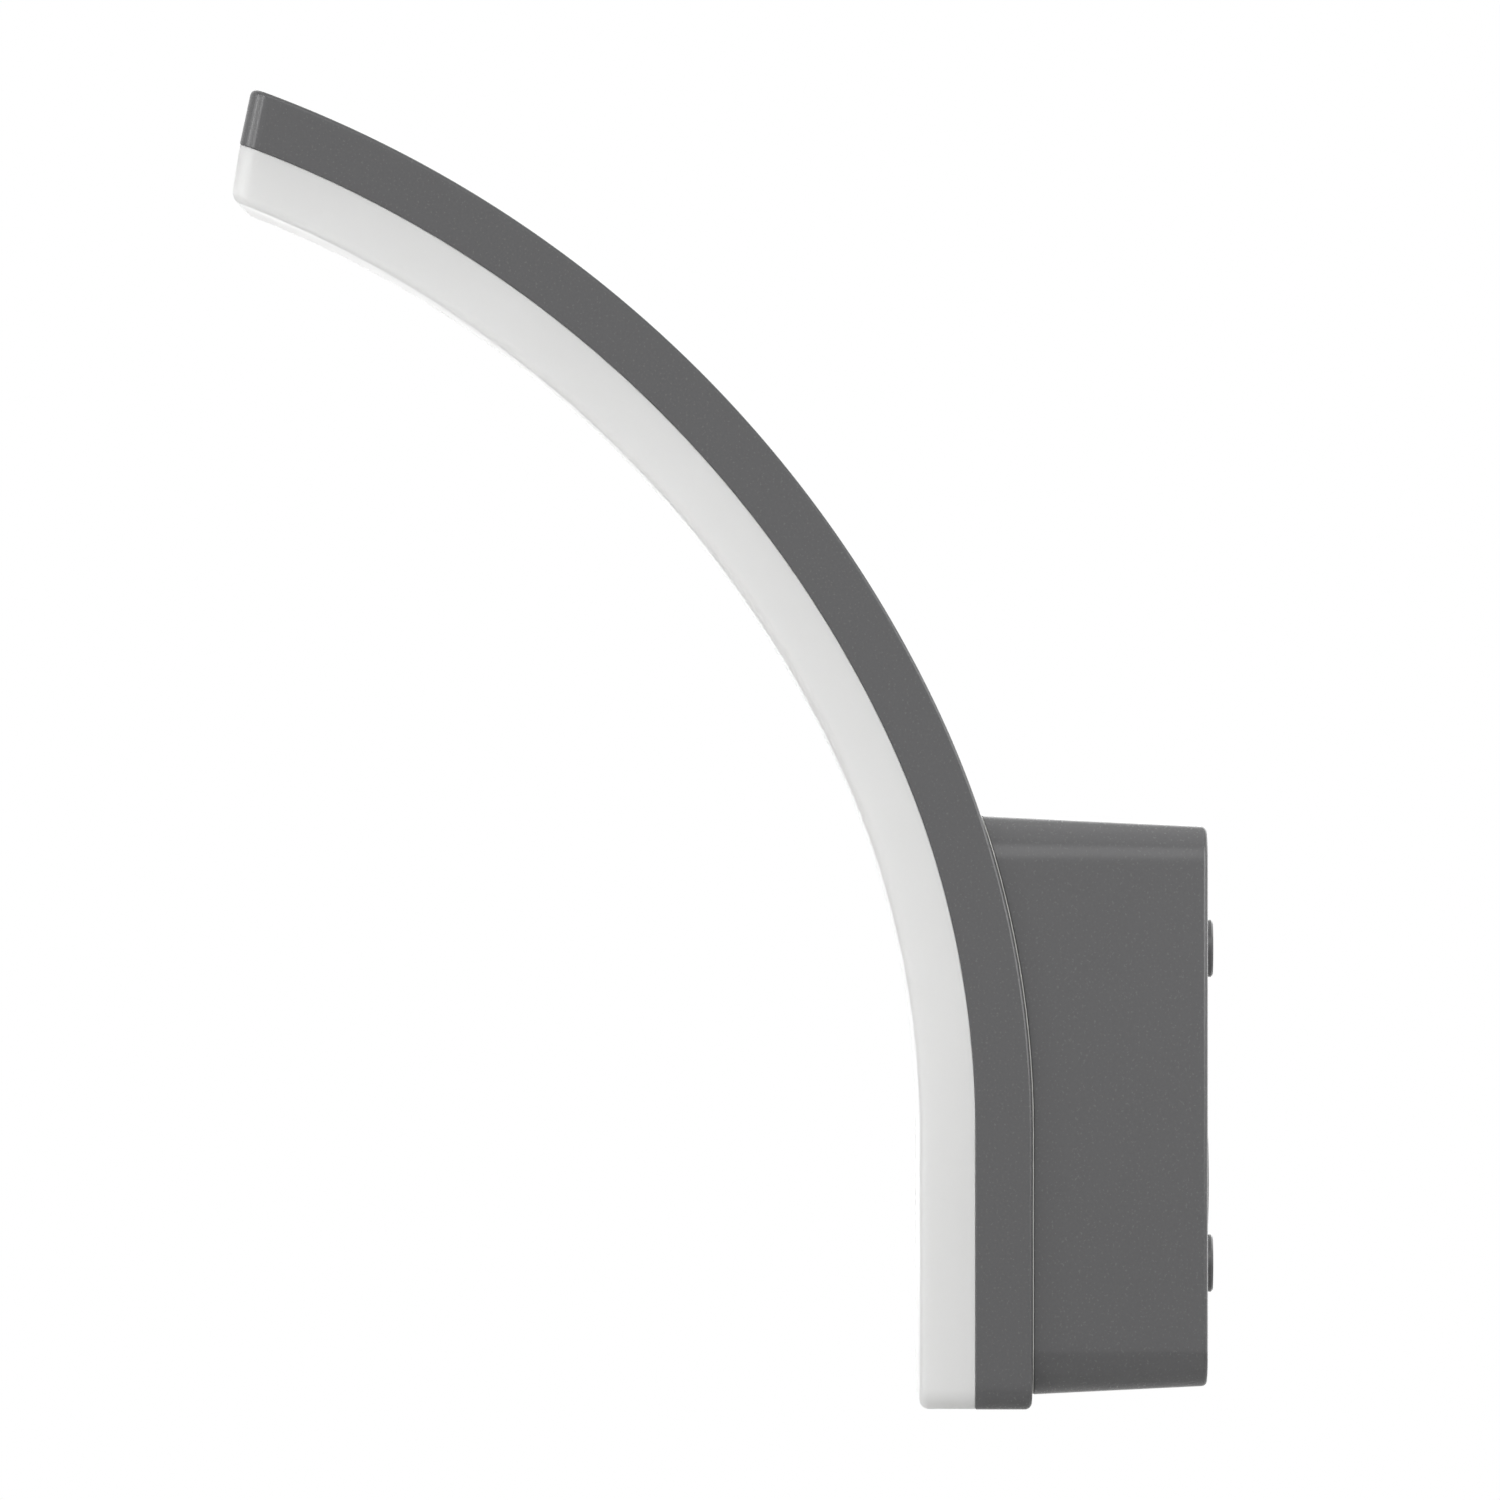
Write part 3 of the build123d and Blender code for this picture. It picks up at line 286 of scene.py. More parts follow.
def powder_coat(colour):
    """Polyester powder coat on die-cast aluminium: satin grey with orange peel about 2 mm across.

    The real grain is under 0.1 mm, and is drawn at 0.35 mm so that it shows.
    """
    grain = ((2.4, 0.010, EVEN), (0.35, 0.0035, EVEN))
    return finish(
        "powder_coated_aluminium", colour, (0.5, 0.95, 1.05), (0.22, 0.28), grain, IOR=1.5
    )


def housing_paint():
    """The powder coat, made once for the arm and the wall box."""
    made = bpy.data.materials.get("powder_coated_aluminium")
    return made or powder_coat(colours().housing)


def opal_acrylic(colour):
    """Injection-moulded opal acrylic: milky and satin, with painted shade that makes it darker
    towards the channel and lighter towards the lit face.
    """

    def from_channel(tree, place, base):
        # Painted shade: the colour is scaled from 0.90 at the channel to 1.0 at the lit face, in
        # place of the light that the dark channel takes away.
        depth = add_node(tree, "ShaderNodeAttribute", attribute_name="from_channel").outputs["Fac"]
        return toned(tree, base, {"Value": depth, "To Min": 0.90, "To Max": 1.0})

    return finish(
        "opal_acrylic",
        colour,
        (45.0, 0.985, 1.01),
        (0.34, 0.42),
        ((0.5, 0.002, EVEN),),
        from_channel,
        IOR=1.49,
        Subsurface_Weight=0.25,
        Subsurface_Radius=(1.0, 1.0, 0.95),
        Subsurface_Scale=3.0 * MM,
    )


def moulded_rubber(name, colour, roughness, index):
    """Moulded rubber: matt, with a faint bloom and the fine texture of its mould."""
    span = (roughness - 0.06, roughness + 0.06)
    return finish(name, colour, (3.0, 0.9, 1.15), span, ((0.25, 0.01, EVEN),), IOR=index)


def zinc_plate(colour):
    """Zinc-plated steel: bright and a little cloudy, with a grain of 0.2 mm."""
    grain = ((0.2, 0.003, EVEN),)
    return finish(
        "zinc_plated_steel", colour, (1.5, 0.88, 1.06), (0.24, 0.38), grain, Metallic=1.0
    )


def galvanised_sheet(colour):
    """Galvanised sheet steel: dull silver with a spangle of zinc crystals about 6 mm across."""

    def spangle(tree, place, base):
        inputs = {"Vector": place, "Scale": 1 / (6.0 * MM)}
        crystals = add_node(tree, "ShaderNodeTexVoronoi", inputs).outputs["Color"]
        tone = add_node(tree, "ShaderNodeSeparateColor", {"Color": crystals}).outputs["Red"]
        return toned(tree, base, {"Value": tone, "To Min": 0.8, "To Max": 1.05})

    grain = ((0.6, 0.003, EVEN),)
    return finish(
        "galvanised_steel", colour, (2.5, 0.95, 1.05), (0.36, 0.48), grain, spangle, Metallic=1.0
    )


def rolled_aluminium(colour):
    """Rolled aluminium strip: fine straight lines along the strip, 0.5 mm apart."""
    grain = ((0.5, 0.002, (1.0, 0.02, 0.02)),)
    return finish(
        "rolled_aluminium", colour, (2.0, 0.94, 1.05), (0.28, 0.38), grain, Metallic=1.0
    )


def solder_mask(name, colour):
    """Solder mask on a circuit board: glossy epoxy that follows copper tracks about 3 mm apart."""

    def tracks(tree, place, base):
        inputs = {"Vector": place, "Scale": 1 / (3.0 * MM), "Randomness": 0.3}
        cells = add_node(tree, "ShaderNodeTexVoronoi", inputs, distance="CHEBYCHEV")
        inputs = {"Value": cells.outputs["Distance"], "To Min": 0.92, "To Max": 1.0}
        inputs.update({"From Min": 0.25, "From Max": 0.3})
        return toned(tree, base, inputs)

    grain = ((1.2, 0.01, EVEN),)
    return finish(name, colour, (5.0, 0.97, 1.03), (0.22, 0.3), grain, tracks, IOR=1.55)


def phosphor_package(colour):
    """LED package: silicone full of yellow phosphor grains."""
    grain = ((0.15, 0.005, EVEN),)
    return finish(
        "led_phosphor_package", colour, (0.2, 0.85, 1.1), (0.3, 0.45), grain, IOR=1.41
    )


def moulded_plastic(name, colour, roughness, index):
    """Injection-moulded plastic: slight flow shading and an even spark-eroded grain of 0.3 mm."""
    span = (roughness - 0.04, roughness + 0.04)
    return finish(name, colour, (12.0, 0.96, 1.02), span, ((0.3, 0.006, EVEN),), IOR=index)


def pressed_ferrite(colour):
    """Pressed and sintered ferrite: dark, dry and finely pitted."""
    grain = ((0.3, 0.02, EVEN),)
    return finish("pressed_ferrite", colour, (0.5, 0.7, 1.25), (0.5, 0.7), grain, IOR=2.0)


def turned_brass(colour):
    """Turned brass: warm metal with fine cutter marks and a light tarnish."""
    grain = ((0.25, 0.003, (1.0, 6.0, 1.0)),)
    return finish("turned_brass", colour, (2.0, 0.8, 1.06), (0.25, 0.36), grain, Metallic=1.0)


def wire_insulation(name, colour, stripe=None, stripe_x=0.0):
    """Extruded PVC insulation: smooth, with a faint grain and a stripe on an earth lead."""

    def striped(tree, place, base):
        across = add_node(tree, "ShaderNodeSeparateXYZ", {"Vector": place}).outputs["X"]
        blur = 0.1 * MM
        inputs = {"Value": across, "From Min": stripe_x - blur, "From Max": stripe_x + blur}
        edge = add_node(tree, "ShaderNodeMapRange", inputs).outputs["Result"]
        # In a colour mix, input 0 is the factor, and inputs 6 and 7 are the two colours.
        inputs = {0: edge, 6: base, 7: shade(stripe, 1.0)}
        return add_node(tree, "ShaderNodeMix", inputs, data_type="RGBA").outputs[2]

    grain = ((0.4, 0.002, EVEN),)
    paint = striped if stripe else None
    return finish(name, colour, (1.0, 0.95, 1.04), (0.3, 0.38), grain, paint, IOR=1.53)


# How far from the lamp, in metres, the floor starts and ends its fade to white.
PAPER_FADE_START = 0.3
PAPER_FADE_END = 1.1


def studio_paper(colour):
    """Matt studio paper: pale, with faint fibres, and white to the camera far from the lamp."""
    grain = ((1.0, 0.02, EVEN),)
    material = finish("studio_paper", colour, (2.0, 0.985, 1.0), (0.85, 0.95), grain)
    tree = material.node_tree
    place = next(node for node in tree.nodes if node.type == "TEX_COORD").outputs["Object"]
    flat = add_node(tree, "ShaderNodeVectorMath", {0: place, 1: (1, 1, 0)}, operation="MULTIPLY")
    reach = add_node(
        tree, "ShaderNodeVectorMath", {0: flat.outputs[0]}, operation="LENGTH"
    ).outputs["Value"]
    inputs = {"Value": reach, "From Min": PAPER_FADE_START, "From Max": PAPER_FADE_END}
    fade = add_node(tree, "ShaderNodeMapRange", inputs, interpolation_type="SMOOTHSTEP")
    seen = add_node(tree, "ShaderNodeLightPath").outputs["Is Camera Ray"]
    inputs = {0: fade.outputs["Result"], 1: seen}
    share = add_node(tree, "ShaderNodeMath", inputs, operation="MULTIPLY").outputs[0]
    white = add_node(tree, "ShaderNodeEmission", {"Color": (1, 1, 1, 1), "Strength": 1.0})
    paper = next(node for node in tree.nodes if node.type == "BSDF_PRINCIPLED")
    output = next(node for node in tree.nodes if node.type == "OUTPUT_MATERIAL")
    inputs = {0: share, 1: paper.outputs[0], 2: white.outputs[0]}
    mixed = add_node(tree, "ShaderNodeMixShader", inputs)
    tree.links.new(mixed.outputs[0], output.inputs["Surface"])
    return material


def give(material, *nodes):
    """Puts a material on CAD nodes."""
    for name in nodes:
        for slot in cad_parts[name].material_slots:
            slot.material = material


# ---- meshes from arrays ----
MERGE_DISTANCE = 1e-3 * MM
SHARP_ANGLE = math.radians(32)


def grid_faces(rows, columns, wrap=False):
    """Quads of a grid of points, whose last column meets the first where it wraps."""
    last = columns if wrap else columns - 1
    row, column = np.meshgrid(np.arange(rows - 1), np.arange(last), indexing="ij")
    right = (column + 1) % columns
    corners = [row * columns + column, row * columns + right]
    corners += [(row + 1) * columns + right, (row + 1) * columns + column]
    return np.stack(corners, axis=-1).reshape(-1, 4)


def joined(*parts):
    """Points and faces of several grids as one set."""
    starts = np.cumsum([0] + [len(points) for points, _ in parts[:-1]])
    points = np.concatenate([points for points, _ in parts])
    return points, np.concatenate([faces + start for (_, faces), start in zip(parts, starts)])


def outward(points, faces):
    """Turns a closed shell's faces outwards, where its volume, a sum of pyramids, is positive."""
    a, b, c, d = (points[faces[:, corner]] for corner in range(4))
    volume = np.sum(a * np.cross(b, c)) + np.sum(a * np.cross(c, d))
    return points, faces if volume > 0 else faces[:, ::-1]


def mesh_piece(name, points, faces, tone=None):
    """A smooth mesh object from arrays in millimetres, with points that coincide made one."""
    mesh = bpy.data.meshes.new(name)
    mesh.from_pydata((points * MM).tolist(), [], faces.tolist())
    # tone is the depth from the channel, 0 to 1, which the diffuser's painted shade follows.
    if tone is not None:
        layer = mesh.attributes.new("from_channel", "FLOAT", "POINT")
        layer.data.foreach_set("value", tone)
    work = bmesh.new()
    work.from_mesh(mesh)
    bmesh.ops.remove_doubles(work, verts=work.verts, dist=MERGE_DISTANCE)
    work.to_mesh(mesh)
    work.free()
    piece = bpy.data.objects.new(name, mesh)
    bpy.context.scene.collection.objects.link(piece)
    smooth(piece)
    return piece


def smooth(piece):
    """Smooth shading, with a break at every edge sharper than SHARP_ANGLE."""
    piece.data.shade_smooth()
    piece.data.set_sharp_from_angle(angle=SHARP_ANGLE)


def crisp(piece):
    """Lets wide faces keep their flat shading beside narrow rounded edges."""
    modifier = piece.modifiers.new("flat faces", "WEIGHTED_NORMAL")
    modifier.keep_sharp = True


def carve(piece, added, cut):
    """Adds closed meshes to a piece and cuts others out of it, and keeps the result."""
    for others, operation in ((added, "UNION"), (cut, "DIFFERENCE")):
        for points, faces in others:
            tool = mesh_piece("tool", points, faces)
            modifier = piece.modifiers.new(operation, "BOOLEAN")
            modifier.object, modifier.operation, modifier.solver = tool, operation, "EXACT"
    graph = bpy.context.evaluated_depsgraph_get()
    mesh = bpy.data.meshes.new_from_object(piece.evaluated_get(graph))
    tools = [modifier.object for modifier in piece.modifiers]
    piece.modifiers.clear()
    work = bmesh.new()
    work.from_mesh(mesh)
    bmesh.ops.remove_doubles(work, verts=work.verts, dist=2 * MERGE_DISTANCE)
    open_edges = [edge for edge in work.edges if len(edge.link_faces) == 1]
    bmesh.ops.holes_fill(work, edges=open_edges)
    work.to_mesh(mesh)
    work.free()
    piece.data = mesh
    mesh.name = piece.name
    for tool in tools:
        bpy.data.objects.remove(tool)
    smooth(piece)


def attach(piece, *parts):
    """Adds closed meshes to a piece as they are, where they only stand in its walls."""
    work = bmesh.new()
    work.from_mesh(piece.data)
    extra = mesh_piece("extra", *joined(*parts))
    work.from_mesh(extra.data)
    bpy.data.objects.remove(extra)
    work.to_mesh(piece.data)
    work.free()
    smooth(piece)


def rounded_loop(half_x, low, high, radius, across, along, corner_steps=8):
    """Core points and unit normals round a rounded rectangle.

    Its outline is core + radius x normal. across, along and corner_steps count the steps.
    """
    core_x = half_x - radius
    xs = np.linspace(-core_x, core_x, across + 1)
    ys = np.linspace(low + radius, high - radius, along + 1)
    turn = np.radians(np.linspace(0, 90, corner_steps + 1))[1:-1]
    cores, normals = [], []
    sides = (
        (np.full_like(ys, core_x), ys, 0.0),
        (xs[::-1], np.full_like(xs, ys[-1]), 90.0),
        (np.full_like(ys, -core_x), ys[::-1], 180.0),
        (xs, np.full_like(xs, ys[0]), 270.0),
    )
    for x, y, degrees in sides:
        bends = np.concatenate([np.zeros(len(x)), turn]) + math.radians(degrees)
        ends = np.full(len(turn), len(x) - 1)
        rows = np.concatenate([np.arange(len(x)), ends])
        cores.append(np.stack([x[rows], y[rows]], axis=-1))
        normals.append(np.stack([np.cos(bends), np.sin(bends)], axis=-1))
    return np.concatenate(cores), np.concatenate(normals), xs, ys


def quarter(start, end, corner, steps=6):
    """A quarter round between two (inset, depth) points that bulges towards their sharp corner."""
    turn = np.radians(np.linspace(0, 90, steps + 1))[:, None]
    start, end, corner = (np.array(point, dtype=float) for point in (start, end, corner))
    centre = start + end - corner
    return centre + (start - centre) * np.cos(turn) + (end - centre) * np.sin(turn)


def tray(ring, first_cap, last_cap):
    """A closed surface: rings of points joined one to the next, with a grid over each end."""
    count = ring.shape[1]
    first = grid_faces(*first_cap.shape[:2])
    last = grid_faces(*last_cap.shape[:2])[:, ::-1]
    parts = [(ring.reshape(-1, 3), grid_faces(len(ring), count, wrap=True))]
    parts += [(first_cap.reshape(-1, 3), first), (last_cap.reshape(-1, 3), last)]
    return outward(*joined(*parts))


def rod(radius, low, high, place, chamfer=0.0, sides=48):
    """A closed round bar: circles of a radius at a few heights, each end closed at its centre."""
    turn = np.linspace(0, 2 * np.pi, sides, endpoint=False)
    radii = np.array([0.0, radius, radius, radius - chamfer, 0.0])[:, None]
    heights = np.array([low, low, high - math.copysign(chamfer, high - low), high, high])
    heights = np.repeat(heights[:, None], sides, axis=1)
    points = place(radii * np.cos(turn), radii * np.sin(turn), heights)
    return outward(points.reshape(-1, 3), grid_faces(len(radii), sides, wrap=True))


def bar(section, stations, place):
    """A closed bar: a section of (x, depth) corners at each station, closed at its end middles."""
    section = np.array(section, dtype=float)
    core = section.mean(axis=0)
    swell = np.concatenate([[0.0], np.ones(len(stations)), [0.0]])[:, None, None]
    rings = core + swell * (section - core)
    steps = np.concatenate([stations[:1], stations, stations[-1:]])
    steps = np.repeat(steps[:, None], len(section), axis=1)
    points = place(rings[..., 0], steps, rings[..., 1]).reshape(-1, 3)
    return outward(points, grid_faces(len(steps), len(section), wrap=True))


def straight_z(x, z, y):
    """Places a bar's sections in X and Y, and its stations along Z."""
    return np.stack([x, y, z], axis=-1)


def along_y(x, z):
    """Places a rod along Y."""
    return lambda a, b, height: np.stack([x + a, height, z + b], axis=-1)


def along_z(x, y):
    """Places a rod along Z."""
    return lambda a, b, height: np.stack([x + a, y + b, height], axis=-1)


def square_to_arm(x, station):
    """Places a rod square to the arm at a station, its height counted out from the seam."""
    y0, z0 = (float(value) for value in bent(np.array(station), np.array(0.0)))
    y1, z1 = (float(value) for value in bent(np.array(station), np.array(1.0)))
    out_y, out_z = y1 - y0, z1 - z0

    def place(a, b, height):
        y = y0 + out_y * height - out_z * b
        return np.stack([x + a, y, z0 + out_z * height + out_y * b], axis=-1)

    return place


# ---- the bent arm, in millimetres ----
# Distances from the upper end. The lean is followed in full up to the first, and not past the
# second.
LEAN_FADE_START = 6.0
LEAN_FADE_END = 30.0
LEAN_REACH = 60.0  # insets are held at this one, so that the arcsine stays in range

# Rings of points that keep wide faces flat beside a rounded edge, as insets or depths.
BACK_RINGS = (3.2, 2.6)
CHANNEL_SIDE_RINGS = (8.4, 5.5, 3.0, 1.0)
DIFFUSER_FACE_RING = 2.8
DIFFUSER_SIDE_RINGS = (6.5, 4.5, 2.5, 1.0)

CHANNEL_INNER_RADIUS = 0.6
SPIGOT_FOOT = 10.4  # from the seam, inside the wall of the channel
SPIGOT_CORNER = 5.59
RIB_X = 27.5
RIB_HALF_WIDTH = 1.0
RIB_TOP = 6.8  # from the seam, as is the foot
RIB_FOOT = 9.1
RIB_END_GAP = 1.7
BOSS_RADIUS = 3.0
BOSS_CHAMFER = 0.2
BOSS_SIDES = 32
BOARD_BOSS_END_GAP = 12.0
TRAY_BOSS_X = 29.69
TRAY_BOSS_Z = 39.21
TRAY_BOSS_END_Y = -31.7
TRAY_BOSS_ROOT = 1.1  # how far it stands in the wall of the channel
WIRE_HOLE_RADIUS = 3.5
WIRE_HOLE_Y = (-38.5, -33.0)


def bent(station, offset):
    """Y and Z on the arm, out from the seam by an offset.

    Up to the straight's end, s0: y = seam + offset and z = bottom + station. Then round two arcs
    that meet smoothly, y = y0 + (r + offset) cos t and z = z0 + (r + offset) sin t, where t is
    (station - s0) / r on the lower arc and grows by 1 / r of the upper one beyond it.
    """
    low_radius, high_radius = size("lower_radius"), size("upper_radius")
    turn_low, straight = size("lower_angle"), size("straight")
    upper = station > straight + low_radius * turn_low
    turn = np.clip(station - straight, 0, low_radius * turn_low) / low_radius
    turn = turn + np.maximum(station - straight - low_radius * turn_low, 0) / high_radius
    shift = (low_radius - high_radius) * upper
    radius = np.where(upper, high_radius, low_radius) + offset
    y = size("seam") - low_radius + shift * math.cos(turn_low) + radius * np.cos(turn)
    z = size("arm_bottom") + straight + shift * math.sin(turn_low) + radius * np.sin(turn)
    return y, z + np.minimum(station - straight, 0)


def arm_length():
    """Length of the seam: the straight and the two arcs."""
    lower = size("lower_radius") * size("lower_angle")
    return size("straight") + lower + size("upper_radius") * size("upper_angle")


def on_arm(lean):
    """Places x, station and offset on the arm, whose upper end leans forwards from square.

    A point at an inset from the end stands at that inset from the leaning plane, and the shift
    fades out with a smooth step, f f (3 - 2 f), further down.
    """
    radius, length = size("upper_radius"), arm_length()
    fade_span = LEAN_FADE_END - LEAN_FADE_START

    def place(x, station, offset):
        angle = lean(offset)
        inset = np.minimum(length - station, LEAN_REACH)
        leant = np.arcsin((radius * np.sin(angle) + inset) / (radius + offset)) - angle
        fade = np.clip((LEAN_FADE_END - inset) / fade_span, 0, 1)
        shift = fade * fade * (3 - 2 * fade) * (inset - radius * leant)
        y, z = bent(station + shift, offset)
        return np.stack([x + 0 * y, y, z], axis=-1)

    return place


def back_y(z, offset):
    """Y of the arm's bent surface at a height, up to its lower arc: y0 + sqrt(r^2 - rise^2)."""
    radius = size("lower_radius") + offset
    rise = np.maximum(z - size("arm_bottom") - size("straight"), 0)
    return size("seam") - size("lower_radius") + np.sqrt(radius**2 - rise**2)


def bent_tray(half, inset, corner, rows, place):
    """A tray bent along the arm: rows of (inset, depth) points, which may differ round it."""
    loop = rounded_loop(half, inset, arm_length() - inset, corner, across=20, along=200)
    count = len(loop[0])
    rows = [row if row.ndim == 3 else np.repeat(row[:, None], count, axis=1) for row in rows(loop)]
    profile = np.concatenate(rows)
    plan = loop[0] + (corner - profile[..., :1]) * loop[1]
    ring = place(plan[..., 0], plan[..., 1], profile[..., 1])
    x, station = np.meshgrid(loop[2], loop[3], indexing="ij")
    caps = [place(x, station, np.full_like(x, profile[end, 0, 1])) for end in (0, -1)]
    depths = [profile[..., 1].ravel()]
    depths += [np.full(x.size, profile[end, 0, 1]) for end in (0, -1)]
    return *tray(ring, *caps), np.concatenate(depths)


def channel_rows(loop):
    """Back, rounded back edge, side, lip, inner side and floor of the channel.

    The back edge is rounder at the ends: side + (end - side) n^2, where n is the part of the
    loop's normal that points along the arm.
    """
    depth, wall, corner = size("channel_depth"), size("channel_wall"), size("end_corner")
    lip, floor, inner = size("lip_edge"), depth - wall, CHANNEL_INNER_RADIUS
    side, end = size("side_edge"), size("end_edge")
    edge = side + (end - side) * loop[1][:, 1] ** 2
    turn = np.radians(np.linspace(0, 90, 9))[:, None]
    back = np.stack([edge * (1 - np.sin(turn)), depth - edge * (1 - np.cos(turn))], axis=-1)
    rest = [
        [[0, ring] for ring in CHANNEL_SIDE_RINGS],
        quarter((0, lip), (lip, 0), (0, 0), 4),
        quarter((wall - lip, 0), (wall, lip), (wall, 0), 4),
        quarter((wall, floor - inner), (wall + inner, floor), (wall, floor), 4),
        [[corner, floor]],
    ]
    flat = np.array([[inset, depth] for inset in (corner, *BACK_RINGS)])
    return [flat, back, np.concatenate(rest)]


def diffuser_rows(loop):
    """Lit face, rounded lit edge, side, small lip edge, skirt and inner faces of the diffuser."""
    depth, wall, round_ = size("diffuser_depth"), size("diffuser_wall"), size("diffuser_edge")
    corner = size("end_corner") - size("diffuser_inset")
    lip = size("lip_edge")
    skirt = size("channel_wall")
    neck = min(skirt + size("skirt_wall"), corner)
    rest = [
        [[corner, -depth], [DIFFUSER_FACE_RING, -depth]],
        quarter((round_, -depth), (0, round_ - depth), (0, -depth), 8),
        [[0, -ring] for ring in DIFFUSER_SIDE_RINGS],
        quarter((0, -lip), (lip, 0), (0, 0), 4),
        [[skirt, 0], [skirt, size("skirt_depth")], [neck, size("skirt_depth")], [neck, -wall]],
        [[wall, -wall], [wall, wall - depth], [corner, wall - depth]],
    ]
    return [np.concatenate(rest)]


def spigot():
    """The rib behind the arm: a small section carried round a rounded rectangle in X and Z.

    Its edge follows the bent back, and its foot stands in the wall of the channel.
    """
    wall, top, lip = size("spigot_wall"), size("spigot_offset"), size("lip_edge")
    foot, radius = SPIGOT_FOOT, SPIGOT_CORNER
    width, half = size("spigot_width"), size("spigot_height") / 2
    core, normal, _, _ = rounded_loop(width / 2, -half, half, radius, across=12, along=40)
    rows = [
        [[0, foot]],
        quarter((0, top - lip), (lip, top), (0, top), 3),
        quarter((wall - lip, top), (wall, top - lip), (wall, top), 3),
        [[wall, foot], [0, foot]],
    ]
    rows = np.concatenate(rows)
    plan = core[None] + (radius - rows[:, None, :1]) * normal[None]
    offset = np.repeat(rows[:, 1:], len(core), axis=1)
    y = back_y(plan[..., 1], offset)
    points = np.stack([plan[..., 0], y, plan[..., 1]], axis=-1).reshape(-1, 3)
    return outward(points, grid_faces(len(rows), len(core), wrap=True))


def ribs_and_bosses():
    """Two ribs along the floor, eight bosses for the board screws and four behind for the tray."""
    length = arm_length()
    stations = np.linspace(RIB_END_GAP, length - RIB_END_GAP, 101)
    place = on_arm(lambda offset: size("channel_lean"))
    shape = {"chamfer": BOSS_CHAMFER, "sides": BOSS_SIDES}
    parts = []
    for side in (-1, 1):
        x = side * RIB_X
        low, high = x - RIB_HALF_WIDTH, x + RIB_HALF_WIDTH
        section = [(low, RIB_TOP), (high, RIB_TOP), (high, RIB_FOOT), (low, RIB_FOOT)]
        parts.append(bar(section, stations, place))
        for station in np.linspace(BOARD_BOSS_END_GAP, length - BOARD_BOSS_END_GAP, 4):
            there = square_to_arm(x, station)
            parts.append(rod(BOSS_RADIUS, RIB_FOOT, RIB_TOP, there, **shape))
        for z in (-TRAY_BOSS_Z, TRAY_BOSS_Z):
            root = float(back_y(np.array(z), size("channel_depth"))) - TRAY_BOSS_ROOT
            there = along_y(side * TRAY_BOSS_X, z)
            parts.append(rod(BOSS_RADIUS, root, TRAY_BOSS_END_Y, there, **shape))
    return parts


# ---- wall box, in millimetres ----
BOX_REAR_RINGS = (3.0, 1.6)  # insets that keep the rear flat up to its rounded edge
BOX_SIDE_SHARES = (0.06, 0.3, 0.6, 0.85, 0.97)  # of the way from the rear to the rim
BOX_INSIDE_SHARES = (0.6, 0.2, 0)
BOX_INNER_RADIUS = 0.6
BOX_INNER_BEVEL = 0.2
FIXING_SPOTS = [(x, z) for x in (-25, 25) for z in (-30, 30)]  # the wall screws
FIXING_BOSS_RADIUS = 5.5
FIXING_BOSS_Y = (-1.9, 0.0)
FIXING_BOSS_CHAMFER = 0.35
FIXING_HOLE_RADIUS = 2.5
REAR_HOLE_Y = (-6.0, 1.0)
CABLE_HOLE_RADIUS = 8.0
LOCK_PAD_HALF_WIDTH = 8  # the pads, seats and holes of the locking screws
LOCK_PAD_Y = (-31, -19)
LOCK_PAD_Z = (50.41, 53.15)
LOCK_Y = -25.0
LOCK_HEAD_RADIUS = 3.7
LOCK_HEAD_SEAT = 51.81
LOCK_HOLE_RADIUS = 2.1
LOCK_HOLE_Z = (48.0, 60.0)


def middle(node):
    """The middle of a CAD node in millimetres."""
    low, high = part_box(node)
    return [(a + b) / 2 / MM for a, b in zip(low, high)]


def box_ring(core, normal, inset, height, share):
    """Points round the wall box, which grows by its draft towards the arm.

    y = (1 - share) rear_y + share back_y(z, offset), and the corner radius grows by
    (rear - y) tan(draft). The size depends on Y and Y on the size, so both are worked out
    five times over.
    """
    slope, rear = math.tan(size("box_draft")), size("box_rear")
    rear_y, offset = height
    y = np.full(np.broadcast_shapes(inset.shape, core[..., 0].shape), rear)
    for _ in range(5):
        radius = np.maximum(size("box_corner") + (rear - y) * slope - inset, 0)
        plan = core + radius[..., None] * normal
        y = (1 - share) * rear_y + share * back_y(plan[..., 1], offset)
    return np.stack([plan[..., 0], y, plan[..., 1]], axis=-1)


